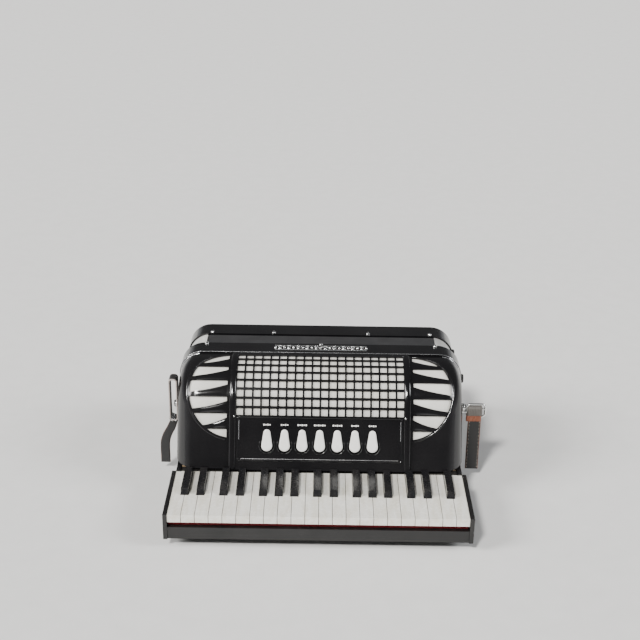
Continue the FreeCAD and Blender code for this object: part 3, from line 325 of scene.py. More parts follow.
def felt(name, base):
    """Fuzzy thread or felt."""
    m = Nodes(name).set(Roughness=0.95, Sheen_Weight=0.5)
    fuzz = m.noise(1300, 5, 0.75)
    m.color(m.mix(m.ramp(fuzz, 0.3, 0.7, 0, 1), tuple(c * 0.6 for c in base), base))
    m.bump((fuzz, 0.0004))
    return m.material


def rubber(name):
    """Gritty black rubber."""
    m = Nodes(name)
    grit = m.noise(1100, 4, 0.7)
    m.color(m.mix(m.ramp(grit, 0.3, 0.75, 0, 1), (0.012, 0.012, 0.012), (0.035, 0.034, 0.033)))
    m.rough(m.ramp(grit, 0.3, 0.7, 0.6, 0.85))
    m.bump((grit, 0.00012))
    return m.material


def key_material(name, base, aged):
    """A key's plastic in front; its stick, wire lever and felted pallet behind, with painted shade,
    near-black, for the first 13 mm behind the grille's foot under its lip.
    """
    m = Nodes(name).set(Coat_Weight=0.2, Coat_Roughness=0.15)
    streak = m.noise(40, 5, 0.6, stretch=(3, 0.6, 3))
    plastic = m.mix(m.ramp(streak, 0.4, 0.65, 0, 1), base, aged)
    grain = m.noise(60, 5, 0.6, stretch=(3, 0.3, 3))
    wooden = m.mix(m.ramp(grain, 0.35, 0.7, 0, 1), (0.55, 0.40, 0.24), (0.36, 0.24, 0.13))
    # Painted shade: near-black for about 13 mm behind the grille's foot, standing in for the shadow under its
    # lip; wood beyond.
    past_painted_shade = m.ramp(m.axis("Y"), FOOT_Y + 13 * MM, FOOT_Y + 15 * MM, 0, 1)
    painted_shade_then_wood = m.mix(past_painted_shade, (0.012, 0.011, 0.010), wooden)
    behind = m.math("GREATER_THAN", m.axis("Y"), FOOT_Y + 0.5 * MM)
    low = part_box("key_g3")[0]
    inside = m.math("GREATER_THAN", m.axis("Y"), low.y + 2.5 * MM)
    below = m.math("MULTIPLY", m.math("LESS_THAN", m.axis("Z"), low.z + 8.5 * MM), inside)
    hidden = m.math("MAXIMUM", behind, below)
    m.color(m.mix(below, m.mix(behind, plastic, painted_shade_then_wood), wooden))
    m.rough(m.math("ADD", m.ramp(m.noise(180, 3), 0.3, 0.7, 0.18, 0.32), m.math("MULTIPLY", hidden, 0.35)))
    m.bump((m.noise(320, 3), 0.00003))
    return m.material


BLACK = celluloid("black_celluloid_gloss", (0.0045, 0.0042, 0.0048), (0.009, 0.0085, 0.009))
PANEL_BLACK = celluloid("switch_panel_gloss", (0.010, 0.010, 0.012), (0.016, 0.016, 0.018), 0.16)
WHITE_KEY = key_material("white_key_plastic", (0.80, 0.785, 0.73), (0.70, 0.67, 0.58))
BLACK_KEY = key_material("black_key_plastic", (0.008, 0.008, 0.009), (0.016, 0.015, 0.015))
SWITCH_WHITE = ivory("switch_white_plastic", (0.90, 0.895, 0.87), (0.83, 0.81, 0.76), 0.16)
BUTTON_WHITE = ivory("button_ivory_plastic", (0.84, 0.82, 0.75), (0.72, 0.68, 0.57))
CHROME = chrome("bright_chrome")
SILVER = chrome("trim_silver", (0.68, 0.68, 0.69), 0.2)
CORNER_METAL = chrome("bellows_corner_metal", (0.80, 0.79, 0.77), 0.46)
CLOTH = weave("grille_cloth_weave", (0.80, 0.785, 0.74), (0.56, 0.545, 0.50))
CARD = card("bellows_card_black")
LEATHER = leather("black_strap_leather", (0.008, 0.0075, 0.0075), (0.22, 0.115, 0.085))
GREY_LEATHER = leather("worn_grey_leather", (0.085, 0.078, 0.070), (0.30, 0.25, 0.20))
LOOP_LEATHER = leather("loop_leather_pale_edges", (0.012, 0.011, 0.011), (0.42, 0.37, 0.34))
RAW_LEATHER = leather("raw_red_leather", (0.17, 0.055, 0.028), (0.36, 0.17, 0.09), 500)
SPRUCE = wood("reed_block_spruce", (0.62, 0.46, 0.28), (0.40, 0.26, 0.14))
RUBBER = rubber("foot_rubber")
THREAD = felt("strap_thread", (0.42, 0.36, 0.28))
STEEL = chrome("rod_steel", (0.5, 0.5, 0.51), 0.25)


def bed_material(name):
    """Painted wood, with the red felt on which the keys land."""
    m = Nodes(name)
    fuzz = m.noise(1300, 5, 0.75)
    cloud = m.noise(20, 4)
    red = m.mix(m.ramp(fuzz, 0.3, 0.7, 0, 1), (0.16, 0.012, 0.016), (0.30, 0.022, 0.03))
    paint = m.mix(m.ramp(cloud, 0.3, 0.7, 0, 1), (0.006, 0.006, 0.006), (0.014, 0.013, 0.013))
    felt_half, felt_low, felt_high = 214.3 * MM, 35.1 * MM, 39.6 * MM
    across = m.axis("X")
    between = m.math("LESS_THAN", m.math("MULTIPLY", across, across), felt_half ** 2)
    height = m.math("MULTIPLY", m.math("GREATER_THAN", m.axis("Z"), felt_low),
                    m.math("LESS_THAN", m.axis("Z"), felt_high))
    on_felt = m.math("MULTIPLY", height, between)
    m.color(m.mix(on_felt, paint, red))
    m.rough(m.ramp(on_felt, 0, 1, 0.22, 0.95))
    m.bump((m.math("MULTIPLY", fuzz, on_felt), 0.0003), (cloud, 0.0002))
    return m.material


BED = bed_material("keyboard_bed_paint_and_felt")


def dress(node, material, bevel=0.0):
    """Gives a CAD node its material, and rounds its sharp edges a little."""
    obj = nodes[node]
    obj.data.materials.clear()
    obj.data.materials.append(material)
    if bevel:
        rounding = obj.modifiers.new("edge", "BEVEL")
        rounding.width = bevel
        rounding.segments = 2
        rounding.limit_method = "ANGLE"
        rounding.angle_limit = math.radians(50)
        rounding.use_clamp_overlap = True


# ---- mesh helpers


def piece(name, verts, faces, material, body=None):
    """A smooth mesh object that rides on a body and takes its material's slot."""
    mesh = bpy.data.meshes.new(name)
    mesh.from_pydata([tuple(v) for v in verts], [], faces)
    mesh.validate()
    obj = bpy.data.objects.new(name, mesh)
    bpy.context.scene.collection.objects.link(obj)
    mesh.materials.append(material)
    outward = bmesh.new()
    outward.from_mesh(mesh)
    bmesh.ops.recalc_face_normals(outward, faces=outward.faces)
    outward.to_mesh(mesh)
    outward.free()
    for polygon in mesh.polygons:
        polygon.use_smooth = True
    mesh.set_sharp_from_angle(angle=math.radians(42))
    if body:
        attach(obj, body)
    return obj


class Shape:
    """Vertices and faces gathered from several parts of one piece."""

    def __init__(self):
        self.verts, self.faces, self.wear = [], [], []

    def add(self, verts, faces, wear=None):
        first = len(self.verts)
        self.verts += [Vector(v) for v in verts]
        self.faces += [[i + first for i in face] for face in faces]
        self.wear += list(wear) if wear else [0.0] * len(verts)
        return self

    def make(self, name, material, body=None):
        obj = piece(name, self.verts, self.faces, material, body)
        if any(self.wear):
            layer = obj.data.attributes.new("wear", "FLOAT", "POINT")
            layer.data.foreach_set("value", self.wear)
        return obj


def rings(loops, closed=False, caps=True):
    """Faces that join loops of equal length, one after another, with optional end caps."""
    count, size = len(loops), len(loops[0])
    verts = [p for loop in loops for p in loop]
    faces = []
    for i in range(count if closed else count - 1):
        for j in range(size):
            k = (j + 1) % size
            after = (i + 1) % count
            faces.append([i * size + j, i * size + k, after * size + k, after * size + j])
    if caps and not closed:
        faces.append(list(range(size))[::-1])
        faces.append([(count - 1) * size + j for j in range(size)])
    return verts, faces


def sweep(path, profile, closed=False, up=UP):
    """A profile of (sideways, outward) pairs along a path; up is its outward direction, or one per point."""
    loops = []
    count = len(path)
    for i, point in enumerate(path):
        before = path[(i - 1) % count] if closed or i else point
        after = path[(i + 1) % count] if closed or i < count - 1 else point
        run = (after - before).normalized()
        out = up[i] if isinstance(up, list) else up
        side = run.cross(out).normalized()
        out = side.cross(run).normalized()
        loops.append([point + side * a + out * b for a, b in profile])
    return rings(loops, closed)


def circle(radius, sides=12):
    turns = steps(0, 2 * math.pi, sides)[:-1]
    return [(radius * math.cos(turn), radius * math.sin(turn)) for turn in turns]


def bead(half, high, sink, sides=8):
    """A half-round profile that stands on a surface and reaches a little into it."""
    round_part = [(half * math.cos(turn), high * math.sin(turn)) for turn in steps(0, math.pi, sides)]
    return round_part + [(-half, -sink), (half, -sink)]


def lathe(profile, centre, axis, sides=32):
    """A turned shape: profile of (radius, height) pairs in millimetres about an axis through centre."""
    axis = Vector(axis).normalized()
    side = axis.orthogonal().normalized()
    other = axis.cross(side)
    loops = []
    for radius, height in profile:
        loops.append([Vector(centre) + axis * height * MM + side * a + other * b
                      for a, b in circle(max(radius * MM, 1e-5), sides)])
    return rings(loops)


# ---- carried-over CAD nodes


def dress_cad():
    """Every CAD node that shows as it is."""
    for name, material, bevel in (
        ("treble_grille", BLACK, 0), ("treble_case", BLACK, 0.8), ("bass_case", BLACK, 0.8),
        ("bass_end_plate", PANEL_BLACK, 0.5), ("keyboard_bed", BED, 0.8), ("treble_reed_blocks", SPRUCE, 0.8),
        ("bass_reed_blocks", SPRUCE, 0.8), ("key_axle", STEEL, 0), ("air_button", BUTTON_WHITE, 0.9),
        ("bass_buttons", BUTTON_WHITE, 0), ("chord_buttons", BUTTON_WHITE, 0),
    ):
        dress(name, material, bevel * MM)
    for name in nodes:
        if name.startswith("key_") and name != "key_axle":
            black = "sharp" in name
            dress(name, BLACK_KEY if black else WHITE_KEY, (0.9 if black else 0.7) * MM)


# ---- grille


def corner_drop(x, radius=GRILLE_CORNER - 2 * MM):
    """How far the grille's rounded end falls away at x, on its inside unless a radius is given."""
    over = abs(x) - (GRILLE_HALF - GRILLE_CORNER)
    return radius - math.sqrt(max(radius ** 2 - over ** 2, 0)) if over > 0 else 0.0


def cloth_surface(x_stops, up_stops, lift, bulge, name):
    """A thin closed sheet behind the openings, pushed a little into each by its backing."""
    verts, faces = [], []
    columns, rows = len(x_stops), len(up_stops)
    for thick in (0.0, -0.5 * MM):
        for up in up_stops:
            for x in x_stops:
                out = lift + thick - corner_drop(x) + bulge(x, up)
                verts.append(on_grille(x, up, out)[0])
    half = columns * rows
    for layer in (0, half):
        for j in range(rows - 1):
            for i in range(columns - 1):
                a = layer + j * columns + i
                quad = [a, a + 1, a + columns + 1, a + columns]
                faces.append(quad if layer == 0 else quad[::-1])
    rim = list(range(columns)) + [j * columns + columns - 1 for j in range(1, rows)]
    rim += [(rows - 1) * columns + i for i in range(columns - 2, -1, -1)]
    rim += [j * columns for j in range(rows - 2, 0, -1)]
    for i, a in enumerate(rim):
        b = rim[(i + 1) % len(rim)]
        faces.append([a, b, b + half, a + half])
    return Shape().add(verts, faces).make(name, CLOTH, "treble")


def make_cloth():
    """Three sheets stretched behind the openings, the middle one pushed a little into each by its backing."""
    pitch, rise, first = 12.7 * MM, 14 * MM, 87.6 * MM

    def pillow(x, up):
        across = math.cos(math.pi * (x / pitch - 0.5) - math.pi / 2) ** 2
        along = math.cos(math.pi * (up - first) / rise) ** 2
        return 0.35 * MM * across * along

    middle = cloth_surface(steps(-130 * MM, 130 * MM, 82), steps(79 * MM, 192 * MM, 40), -2.6 * MM, pillow,
                           "cloth_middle")
    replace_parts(middle, "grille_cloth")
    for side, name in ((-1, "cloth_fan_left"), (1, "cloth_fan_right")):
        xs = sorted(side * x for x in steps(137.5 * MM, 198.5 * MM, 24))
        fan = cloth_surface(xs, steps(44 * MM, 196.5 * MM, 40), -RISE - 2.4 * MM, lambda x, up: 0.0, name)


def ridge(path, outs, half, high, name, closed=False, sides=9):
    """A rounded black bead that lies on the grille along a path."""
    shape = Shape().add(*sweep(path, bead(half, high, 0.5 * MM, sides), closed, outs))
    return shape.make(name, BLACK, "treble")


def make_ribs():
    """The rounded beads down both sides of the raised middle, each with a small screw in it."""
    for side, name in ((-1, "middle_rib_left"), (1, "middle_rib_right")):
        places = [on_grille(side * 131.3 * MM, up) for up in steps(1 * MM, CROWN_UP + 1.5 * MM, 60)]
        ridge([p[0] for p in places], [p[2] for p in places], 4.9 * MM, 2.4 * MM, name, sides=14)
        point, _, normal = on_grille(side * 128.9 * MM, 80.6 * MM, 1.2 * MM)
        head = [(0.0, -0.5), (1.7, -0.5), (1.7, 0.5), (1.3, 0.95), (0.6, 1.15), (0.0, 1.2)]
        screw = Shape().add(*lathe(head, point, normal, 20))
        screw.make(f"grille_screw_{'left' if side < 0 else 'right'}", CHROME, "treble")


FAN_TOPS = tuple(up * MM for up in (61, 84.4, 109.3, 135.5, 161.8, 187.9))
FAN_EDGE = 140.2 * MM
FAN_X = 130 * MM
FAN_UP = 118.5 * MM
FAN_REACH = 68 * MM
FAN_RISE = 71 * MM
FAN_RISE_HIGH = 77 * MM
FAN_NECK = 6.4 * MM
FAN_MOUTH = 18.4 * MM


def fan_reach(up):
    """How far out the fan's round outline lies at a height."""
    share = (up - FAN_UP) / (FAN_RISE_HIGH if up > FAN_UP else FAN_RISE)
    return FAN_X + FAN_REACH * math.sqrt(max(1 - share ** 2, 0))


def fan_lower_edge(index, x):
    """Height of an opening's slanting lower edge at x."""
    outer = fan_reach(FAN_TOPS[index] - FAN_MOUTH)
    share = min(max((x - FAN_EDGE) / (outer - FAN_EDGE), 0), 1)
    sag = math.sin(math.pi * share) * 1.6 * MM
    return FAN_TOPS[index] - FAN_NECK - (FAN_MOUTH - FAN_NECK) * share - sag


def on_fan(x, up, lift=0.0):
    """A place on the fan panel's outer surface, which is lower than the raised middle's."""
    return on_grille(x, up, lift - RISE - corner_drop(x, GRILLE_CORNER))[0]


def make_fan_arms():
    """The soft crowns of the arms between the fan's openings, and the bead round the fan."""
    for side, word in ((-1, "left"), (1, "right")):
        shape = Shape()
        for index in range(1, len(FAN_TOPS)):
            low = FAN_TOPS[index - 1]
            reach = fan_reach(low) - 9 * MM
            loops = []
            for share in steps(0.02, 0.98, 18):
                x = FAN_EDGE + (reach - FAN_EDGE) * share
                high = fan_lower_edge(index, x)
                half = max((high - low) * 0.36, 0.3 * MM)
                crown = min(0.7 * MM, half * 0.3) * math.sin(math.pi * share) ** 0.6
                loop = []
                for turn in steps(0, math.pi, 12):
                    up = (low + high) / 2 - math.cos(turn) * half
                    loop.append(on_fan(side * x, up, crown * math.sin(turn) ** 1.5 - 0.02 * MM))
                for up in ((low + high) / 2 + half, (low + high) / 2 - half):
                    loop.append(on_fan(side * x, up, -0.9 * MM))
                loops.append(loop)
            shape.add(*rings(loops))
        shape.make(f"fan_arms_{word}", BLACK, "treble")
        path, outs = [], []
        gap = 3 * MM
        for turn in steps(math.radians(-80), math.radians(80), 70):
            x = FAN_X + (FAN_REACH + gap) * math.cos(turn)
            up = FAN_UP + ((FAN_RISE_HIGH if turn > 0 else FAN_RISE) + gap) * math.sin(turn)
            path.append(on_fan(side * x, up))
            outs.append(on_grille(side * x, up)[2])
        ridge(path, outs, 1.5 * MM, 0.6 * MM, f"fan_border_{word}", sides=12)


# ---- register switches


def switch_frame(index):
    """A switch's own frame: across, up the grille and out, at its pivot on the panel's surface."""
    x = (index - (SWITCHES - 1) / 2) * SWITCH_PITCH
    point, along, normal = on_grille(x, SWITCH_PIVOT)
    return point, ACROSS, along, normal


def teardrop(inset):
    """A switch's outline as (across, up) places about its pivot, wide end down."""
    wide, narrow = SWITCH_WIDE - inset, SWITCH_NARROW - inset
    low = SWITCH_LOW + SWITCH_WIDE - SWITCH_PIVOT
    high = SWITCH_LOW + SWITCH_LENGTH - SWITCH_NARROW - SWITCH_PIVOT
    lean = math.asin((wide - narrow) / (high - low))
    arcs = ((wide, low, -math.pi - lean, lean), (narrow, high, lean, math.pi - lean))
    return [(radius * math.cos(turn), centre + radius * math.sin(turn))
            for radius, centre, start, end in arcs for turn in steps(start, end, 14)]


def make_switches():
    """The paddles: each outline in the profile is (inset, height) in millimetres."""
    profile = [(0.5, -1.75), (0.0, -1.5), (0.0, 0.9), (0.15, 1.5), (0.55, 2.0), (1.2, 2.3), (2.4, 2.5),
               (4.2, 2.55)]
    for index in range(SWITCHES):
        point, across, along, normal = switch_frame(index)
        loops = [[point + across * a + along * b + normal * high * MM for a, b in teardrop(inset * MM)]
                 for inset, high in profile]
        name = f"register_{index + 1}"
        paddle = Shape().add(*rings(loops)).make(f"{name}_paddle", SWITCH_WHITE, name)
        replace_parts(paddle, name)


def make_wells():
    """The raised lips round the finger wells, open above where each switch comes out."""
    shape = Shape()
    low = SWITCH_LOW + SWITCH_WIDE - SWITCH_PIVOT
    radius = 11.6 * MM
    for index in range(SWITCHES):
        point, across, along, normal = switch_frame(index)
        path = [point + across * radius * math.cos(turn) + along * (low + radius * math.sin(turn))
                for turn in steps(math.radians(-214), math.radians(34), 40)]
        shape.add(*sweep(path, bead(0.9 * MM, 1.0 * MM, 0.4 * MM), False, normal))
    shape.make("finger_well_lips", BLACK, "treble")


def rounded_block(centre, across, along, normal, wide, high, thick, soft=0.35):
    """A small plate with softened edges, standing on a surface."""
    loops = []
    for inset, lift in ((0, -0.2 * thick), (0, 0.6 * thick), (soft * thick, thick)):
        a, b = wide / 2 - inset, high / 2 - inset
        corner = min(a, b) * 0.35
        loops.append([centre + across * x + along * y + normal * lift
                      for x, y in rounded_rect(-a, a, -b, b, corner, corner, 3)])
    return rings(loops)


def make_switch_marks():
    """A row of small blank plates over each switch, in place of its label."""
    shape = Shape()
    widths = (12.0, 12.5, 15.5, 17.5, 14.5, 12.5, 12.0)
    plate, gap = 2.2 * MM, 0.8 * MM
    for index, width in enumerate(widths):
        count = round(width * MM / (plate + gap))
        x0 = (index - (SWITCHES - 1) / 2) * SWITCH_PITCH - (count - 1) * (plate + gap) / 2
        for i in range(count):
            point, along, normal = on_grille(x0 + i * (plate + gap), 68.3 * MM)
            tall = 2.6 * MM if i % 2 == 0 else 1.8 * MM
            shape.add(*rounded_block(point, ACROSS, along, normal, plate, tall, 0.3 * MM))
    shape.make("switch_marks", SWITCH_WHITE, "treble")


def make_switch_panel():
    """The black bead round the switch panel, and the fine bright lines let in at its ends and foot."""
    half, low, high, corner = 123.5 * MM, 14.5 * MM, 79.5 * MM, 3 * MM
    path = [on_grille(x, up)[0] for x, up in rounded_rect(-half, half, low, high, corner, corner, 5)]
    normal = on_grille(0, low)[2]
    ridge(path, normal, 1.2 * MM, 0.7 * MM, "switch_panel_bead", closed=True)
    lines = Shape()
    runs = [[on_grille(side * 121.5 * MM, up)[0] for up in steps(46 * MM, 75 * MM, 8)] for side in (-1, 1)]
    runs.append([on_grille(x, 16.9 * MM)[0] for x in steps(-118 * MM, 118 * MM, 8)])
    for run in runs:
        lines.add(*sweep(run, bead(0.5 * MM, 0.35 * MM, 0.3 * MM, 6), False, normal))
    lines.make("switch_panel_lines", SILVER, "treble")


# ---- trim, ornament and pins


def hoop(half, high, corner, y):
    """A path over the instrument at one y, from foot to foot, and the outward direction at each point."""
    low, straight_x, straight_z = FOOT_Z + 1 * MM, half - corner, high - corner
    rising = [(half, z) for z in steps(low, straight_z, 10)[:-1]]
    rising += [(straight_x + corner * math.cos(turn), straight_z + corner * math.sin(turn))
               for turn in steps(0, math.pi / 2, 12)]
    top = [(x, high) for x in steps(-straight_x, straight_x, 20)[1:-1]]
    path = [Vector((x, y, z)) for x, z in [(-x, z) for x, z in rising] + top + rising[::-1]]
    outs = []
    for p in path:
        over_x, over_z = abs(p.x) - straight_x, p.z - straight_z
        if over_x > 0 and over_z > 0:
            outs.append(Vector((math.copysign(over_x, p.x), 0, over_z)).normalized())
        elif over_x > 0 and p.z < high - corner * 0.99:
            outs.append(Vector((math.copysign(1, p.x), 0, 0)))
        else:
            outs.append(UP)
    return path, outs


def make_trim():
    """The bright line over the instrument behind the grille, and the one round each end of the grille."""
    path, outs = hoop(RING_HALF, RING_TOP, RING_CORNER, GRILLE_END + 1.4 * MM)
    rear = Shape().add(*sweep(path, bead(0.95 * MM, 0.4 * MM, 0.6 * MM), False, outs))
    rear.make("trim_line_rear", SILVER, "treble")
    path, outs = hoop(GRILLE_HALF, RING_TOP - RISE, GRILLE_CORNER, GRILLE_END - 1.6 * MM)
    ends = Shape()
    for side in (-1, 1):
        kept = [i for i, p in enumerate(path) if side * p.x > GRILLE_HALF - GRILLE_CORNER + 1 * MM]
        ends.add(*sweep([path[i] for i in kept], bead(0.9 * MM, 0.8 * MM, 0.5 * MM), False,
                        [outs[i] for i in kept]))
    ends.make("trim_line_ends", SILVER, "treble")


def make_pin_heads():
    """Domed chrome heads over the pins that hold the bellows frames."""
    dome = [(0.0, -1.9), (3.2, -1.9), (3.25, -0.9), (2.9, -0.1), (2.1, 0.5), (1.0, 0.8), (0.0, 0.85)]
    frames = (
        ("treble", case_high.y - FRAME_THICK / 2, (-179, 0, 179), RING_HALF, RING_TOP),
        ("bass", bass_low.y + FRAME_THICK / 2, (-175, -75.7, 75.7, 175), CASE_HALF, CASE_TOP),
    )
    for body, y, places, half, top in frames:
        shape = Shape()
        spots = [((x * MM, y, top + 2 * MM), (0, 0, 1)) for x in places]
        for side in (-1, 1):
            spots += [((side * (half + 2 * MM), y, z * MM), (side, 0, 0)) for z in (50, 150)]
        for centre, axis in spots:
            shape.add(*lathe(dome, centre, axis, 24))
        shape.make(f"{body}_pin_heads", CHROME, body)


def make_studs():
    """Spool-shaped chrome studs over the plain CAD ones."""
    shape = Shape()
    turned = [(3.02, 0.0), (7.6, 0.1), (7.7, 0.7), (6.9, 1.4), (5.2, 1.75), (3.03, 1.85), (3.02, 6.6),
              (5.0, 6.7), (5.3, 7.3), (5.3, 8.0), (4.6, 8.7), (2.6, 9.0), (0.0, 9.1)]
    for side in (-1, 1):
        base = Vector((side * (GRILLE_HALF + 0.05 * MM), STUD_Y, STUD_Z))
        shape.add(*lathe(turned, base, (side, 0, 0), 32))
    shape.make("strap_studs", CHROME, "treble")


def make_feet():
    """Rubber feet with a rounded rim, over the plain CAD ones."""
    profile = [(6.1, 0.0), (7.2, 0.0), (7.4, 0.8), (7.1, 3.4), (6.5, 4.6), (5.4, 5.1), (3.2, 5.15),
               (2.6, 4.4), (0.0, 4.3)]
    for body, half, places in (("treble", RING_HALF, ((37, 40), (37, 150))),
                               ("bass", CASE_HALF, ((147, 40), (127, 150)))):
        shape = Shape()
        for y, z in places:
            shape.add(*lathe(profile, (half, y * MM, z * MM), (1, 0, 0), 28))
        shape.make(f"{body}_rubber_feet", RUBBER, body)


def make_ornament():
    """A chrome strip of leaves and studs along the band behind the grille, in place of lettering."""
    shape = Shape()
    y, z = 42 * MM, RING_TOP
    count, pitch = 10, 14.2 * MM
    stud = [(0.0, -0.5), (2.1, -0.5), (2.1, 0.9), (1.7, 1.7), (0.9, 2.2), (0.0, 2.3)]
    for i in range(count):
        x = (i - (count - 1) / 2) * pitch
        for lean in (-1, 1):
            loops = []
            for share in steps(0, 1, 10):
                reach = (share - 0.5) * 12.5 * MM
                wide = 2.7 * MM * math.sin(math.pi * min(max(share, 0.03), 0.97)) ** 0.8
                centre = Vector((x + lean * reach * 0.42, y + reach, z))
                high = 0.9 * MM + 2.2 * MM * math.sin(math.pi * share) * (1.0 if lean > 0 else 0.8)
                leaf = [(a, b - 0.4 * MM) for a, b in bead(wide, high, 0.2 * MM)]
                loops.append([centre + Vector((a, 0, b)) for a, b in leaf])
            shape.add(*rings(loops))
    for i in range(count + 1):
        x = (i - count / 2) * pitch
        shape.add(*lathe(stud, (x, y, z), (0, 0, 1), 16))
    for edge in (-7.2 * MM, 7.2 * MM):
        path = [Vector((x, y + edge, z)) for x in steps(-71.5 * MM, 71.5 * MM, 30)]
        shape.add(*sweep(path, bead(0.8 * MM, 1.2 * MM, 0.5 * MM)))
    shape.make("band_ornament", CHROME, "treble")


# ---- bellows


FOLDS = 16


def make_bellows():
    """The pleated bellows, the rubbed fold edges, and a metal protector on every fold's corners."""
    start, end = bellows_low.y - 0.02 * MM, bellows_high.y + 0.02 * MM
    pitch = (end - start) / FOLDS
    half, low, high = bellows_high.x, bellows_low.z, bellows_high.z
    depth, lining = 11 * MM, 22 * MM
    loops, wear = [], []
    for i in range(FOLDS * 6 + 1):
        share = (i % 6) / 6
        y = start + (end - start) * i / (FOLDS * 6)
        rise = 1 - abs(share - 0.5) * 2
        sink = depth * (1 - rise ** 0.8)
        inner = 0.0 if rise > 0.9 else sink
        outline = rounded_rect(inner - half, half - inner, low + inner, high - inner,
                               max(BACK_CORNER - inner, 3 * MM), max(CASE_CORNER - inner * 0.7, 6 * MM), 8)
        loops.append([Vector((x, y, z)) for x, z in outline])
        wear += [max(0.0, rise * 1.6 - 0.75)] * len(outline)
    inner_loops = []
    for y in (end, start):
        outline = rounded_rect(lining - half, half - lining, low + lining, high - lining, 5 * MM, 5 * MM, 8)
        inner_loops.append([Vector((x, y, z)) for x, z in outline])
        wear += [0.0] * len(outline)
    verts, faces = rings(loops + inner_loops, closed=True, caps=False)
    skin = Shape().add(verts, faces, wear).make("bellows_folds", CARD)
    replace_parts(skin, "bellows")
    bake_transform(skin)

    caps = Shape()
    for i in range(FOLDS):
        y = start + pitch * (i + 0.5)
        for sx in (-1, 1):
            for sz, edge, r in ((1, high, CASE_CORNER), (-1, low, BACK_CORNER)):
                hub = Vector((sx * (half - r), y, edge - sz * r))
                turns = [0.0] + steps(0, math.radians(80), 10)
                outs = [Vector((sx * math.cos(turn), 0, sz * math.sin(turn))) for turn in turns]
                path = [hub + out * (r + 0.25 * MM) for out in outs]
                path[0] -= Vector((0, 0, sz * 9 * MM))
                wide, thick = pitch * 0.43, 0.55 * MM
                profile = [(wide, -2.6 * MM), (wide, 0.0), (wide * 0.72, thick), (-wide * 0.72, thick),
                           (-wide, 0.0), (-wide, -2.6 * MM)]
                caps.add(*sweep(path, profile, False, outs))
    metal = caps.make("bellows_corner_caps", CORNER_METAL)
    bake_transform(metal)


# ---- strap ends


def both_sides(count):
    """Places across a strap from -1 to 1 on its outer side and back on its inner side, as (side, place)."""
    return [(side, side * place) for side in (1, -1) for place in steps(-1, 1, count)]


def ring_path(x_low, x_high, z_low, z_high, corner):
    """A rounded rectangle in X and Z, in the plane of the studs."""
    return [Vector((x, STUD_Y, z)) for x, z in rounded_rect(x_low, x_high, z_low, z_high, corner, corner, 8)]


def strap_surface(centre_line, x_low, x_high, thick, edge_wear, bumpiness=None, across=28):
    """Leather along a centre line in Y and Z; its edges are rounded and its wear runs along them."""
    loops, wear = [], []
    count = len(centre_line)
    for i, point in enumerate(centre_line):
        before, after = centre_line[max(i - 1, 0)], centre_line[min(i + 1, count - 1)]
        run = (after - before).normalized()
        out = ACROSS.cross(run).normalized()
        loop = []
        for side, place in both_sides(across):
            share = (place + 1) / 2
            edge = max(min(share, 1 - share), 0.0)
            soft = min(1.0, (edge * (x_high - x_low)) / (0.9 * MM)) ** 0.5
            high = side * thick / 2 * (0.35 + 0.65 * soft)
            if bumpiness:
                high += side * bumpiness(share, i / (count - 1)) * soft
            loop.append(point + ACROSS * (x_low + (x_high - x_low) * share) + out * high)
            wear.append(max(0.0, edge_wear * (1 - edge / 0.16)))
        loops.append(loop)
    return *rings(loops), wear


def bend_line(places, count=60):
    """A smooth line through (y, z) places."""
    points = [Vector((0, y, z)) for y, z in places]
    padded = [points[0] * 2 - points[1]] + points + [points[-1] * 2 - points[-2]]
    line = []
    spans = len(points) - 1
    per = max(2, count // spans)
    for s in range(spans):
        a, b, c, d = padded[s:s + 4]
        for i in range(per):
            u = i / per
            line.append(0.5 * ((2 * b) + (c - a) * u + (2 * a - 5 * b + 4 * c - d) * u * u
                               + (3 * b - a - 3 * c + d) * u ** 3))
    return line + [points[-1]]


def stitches(shape, line, x, lift):
    """A row of short thread stitches along a line at one x."""
    pitch, half = 4.2 * MM, 1.3 * MM
    travelled = 0.0
    for before, after in zip(line, line[1:]):
        travelled += (after - before).length
        if travelled >= pitch:
            travelled = 0.0
            run = (after - before).normalized()
            out = ACROSS.cross(run).normalized()
            middle = (before + after) / 2 + ACROSS * x + out * lift
            dip = out * math.copysign(0.25 * MM, lift)
            shape.add(*sweep([middle - run * half - dip, middle, middle + run * half - dip],
                             circle(0.35 * MM, 6), False, ACROSS))


def collar(side):
    """The eyelet that turns on a stud."""
    eye = [(3.1, 0.0), (6.2, 0.0), (6.4, 0.4), (6.4, 2.8), (6.2, 3.2), (3.1, 3.2)]
    return lathe(eye, (side * 220.6 * MM, STUD_Y, STUD_Z), (side, 0, 0), 32)


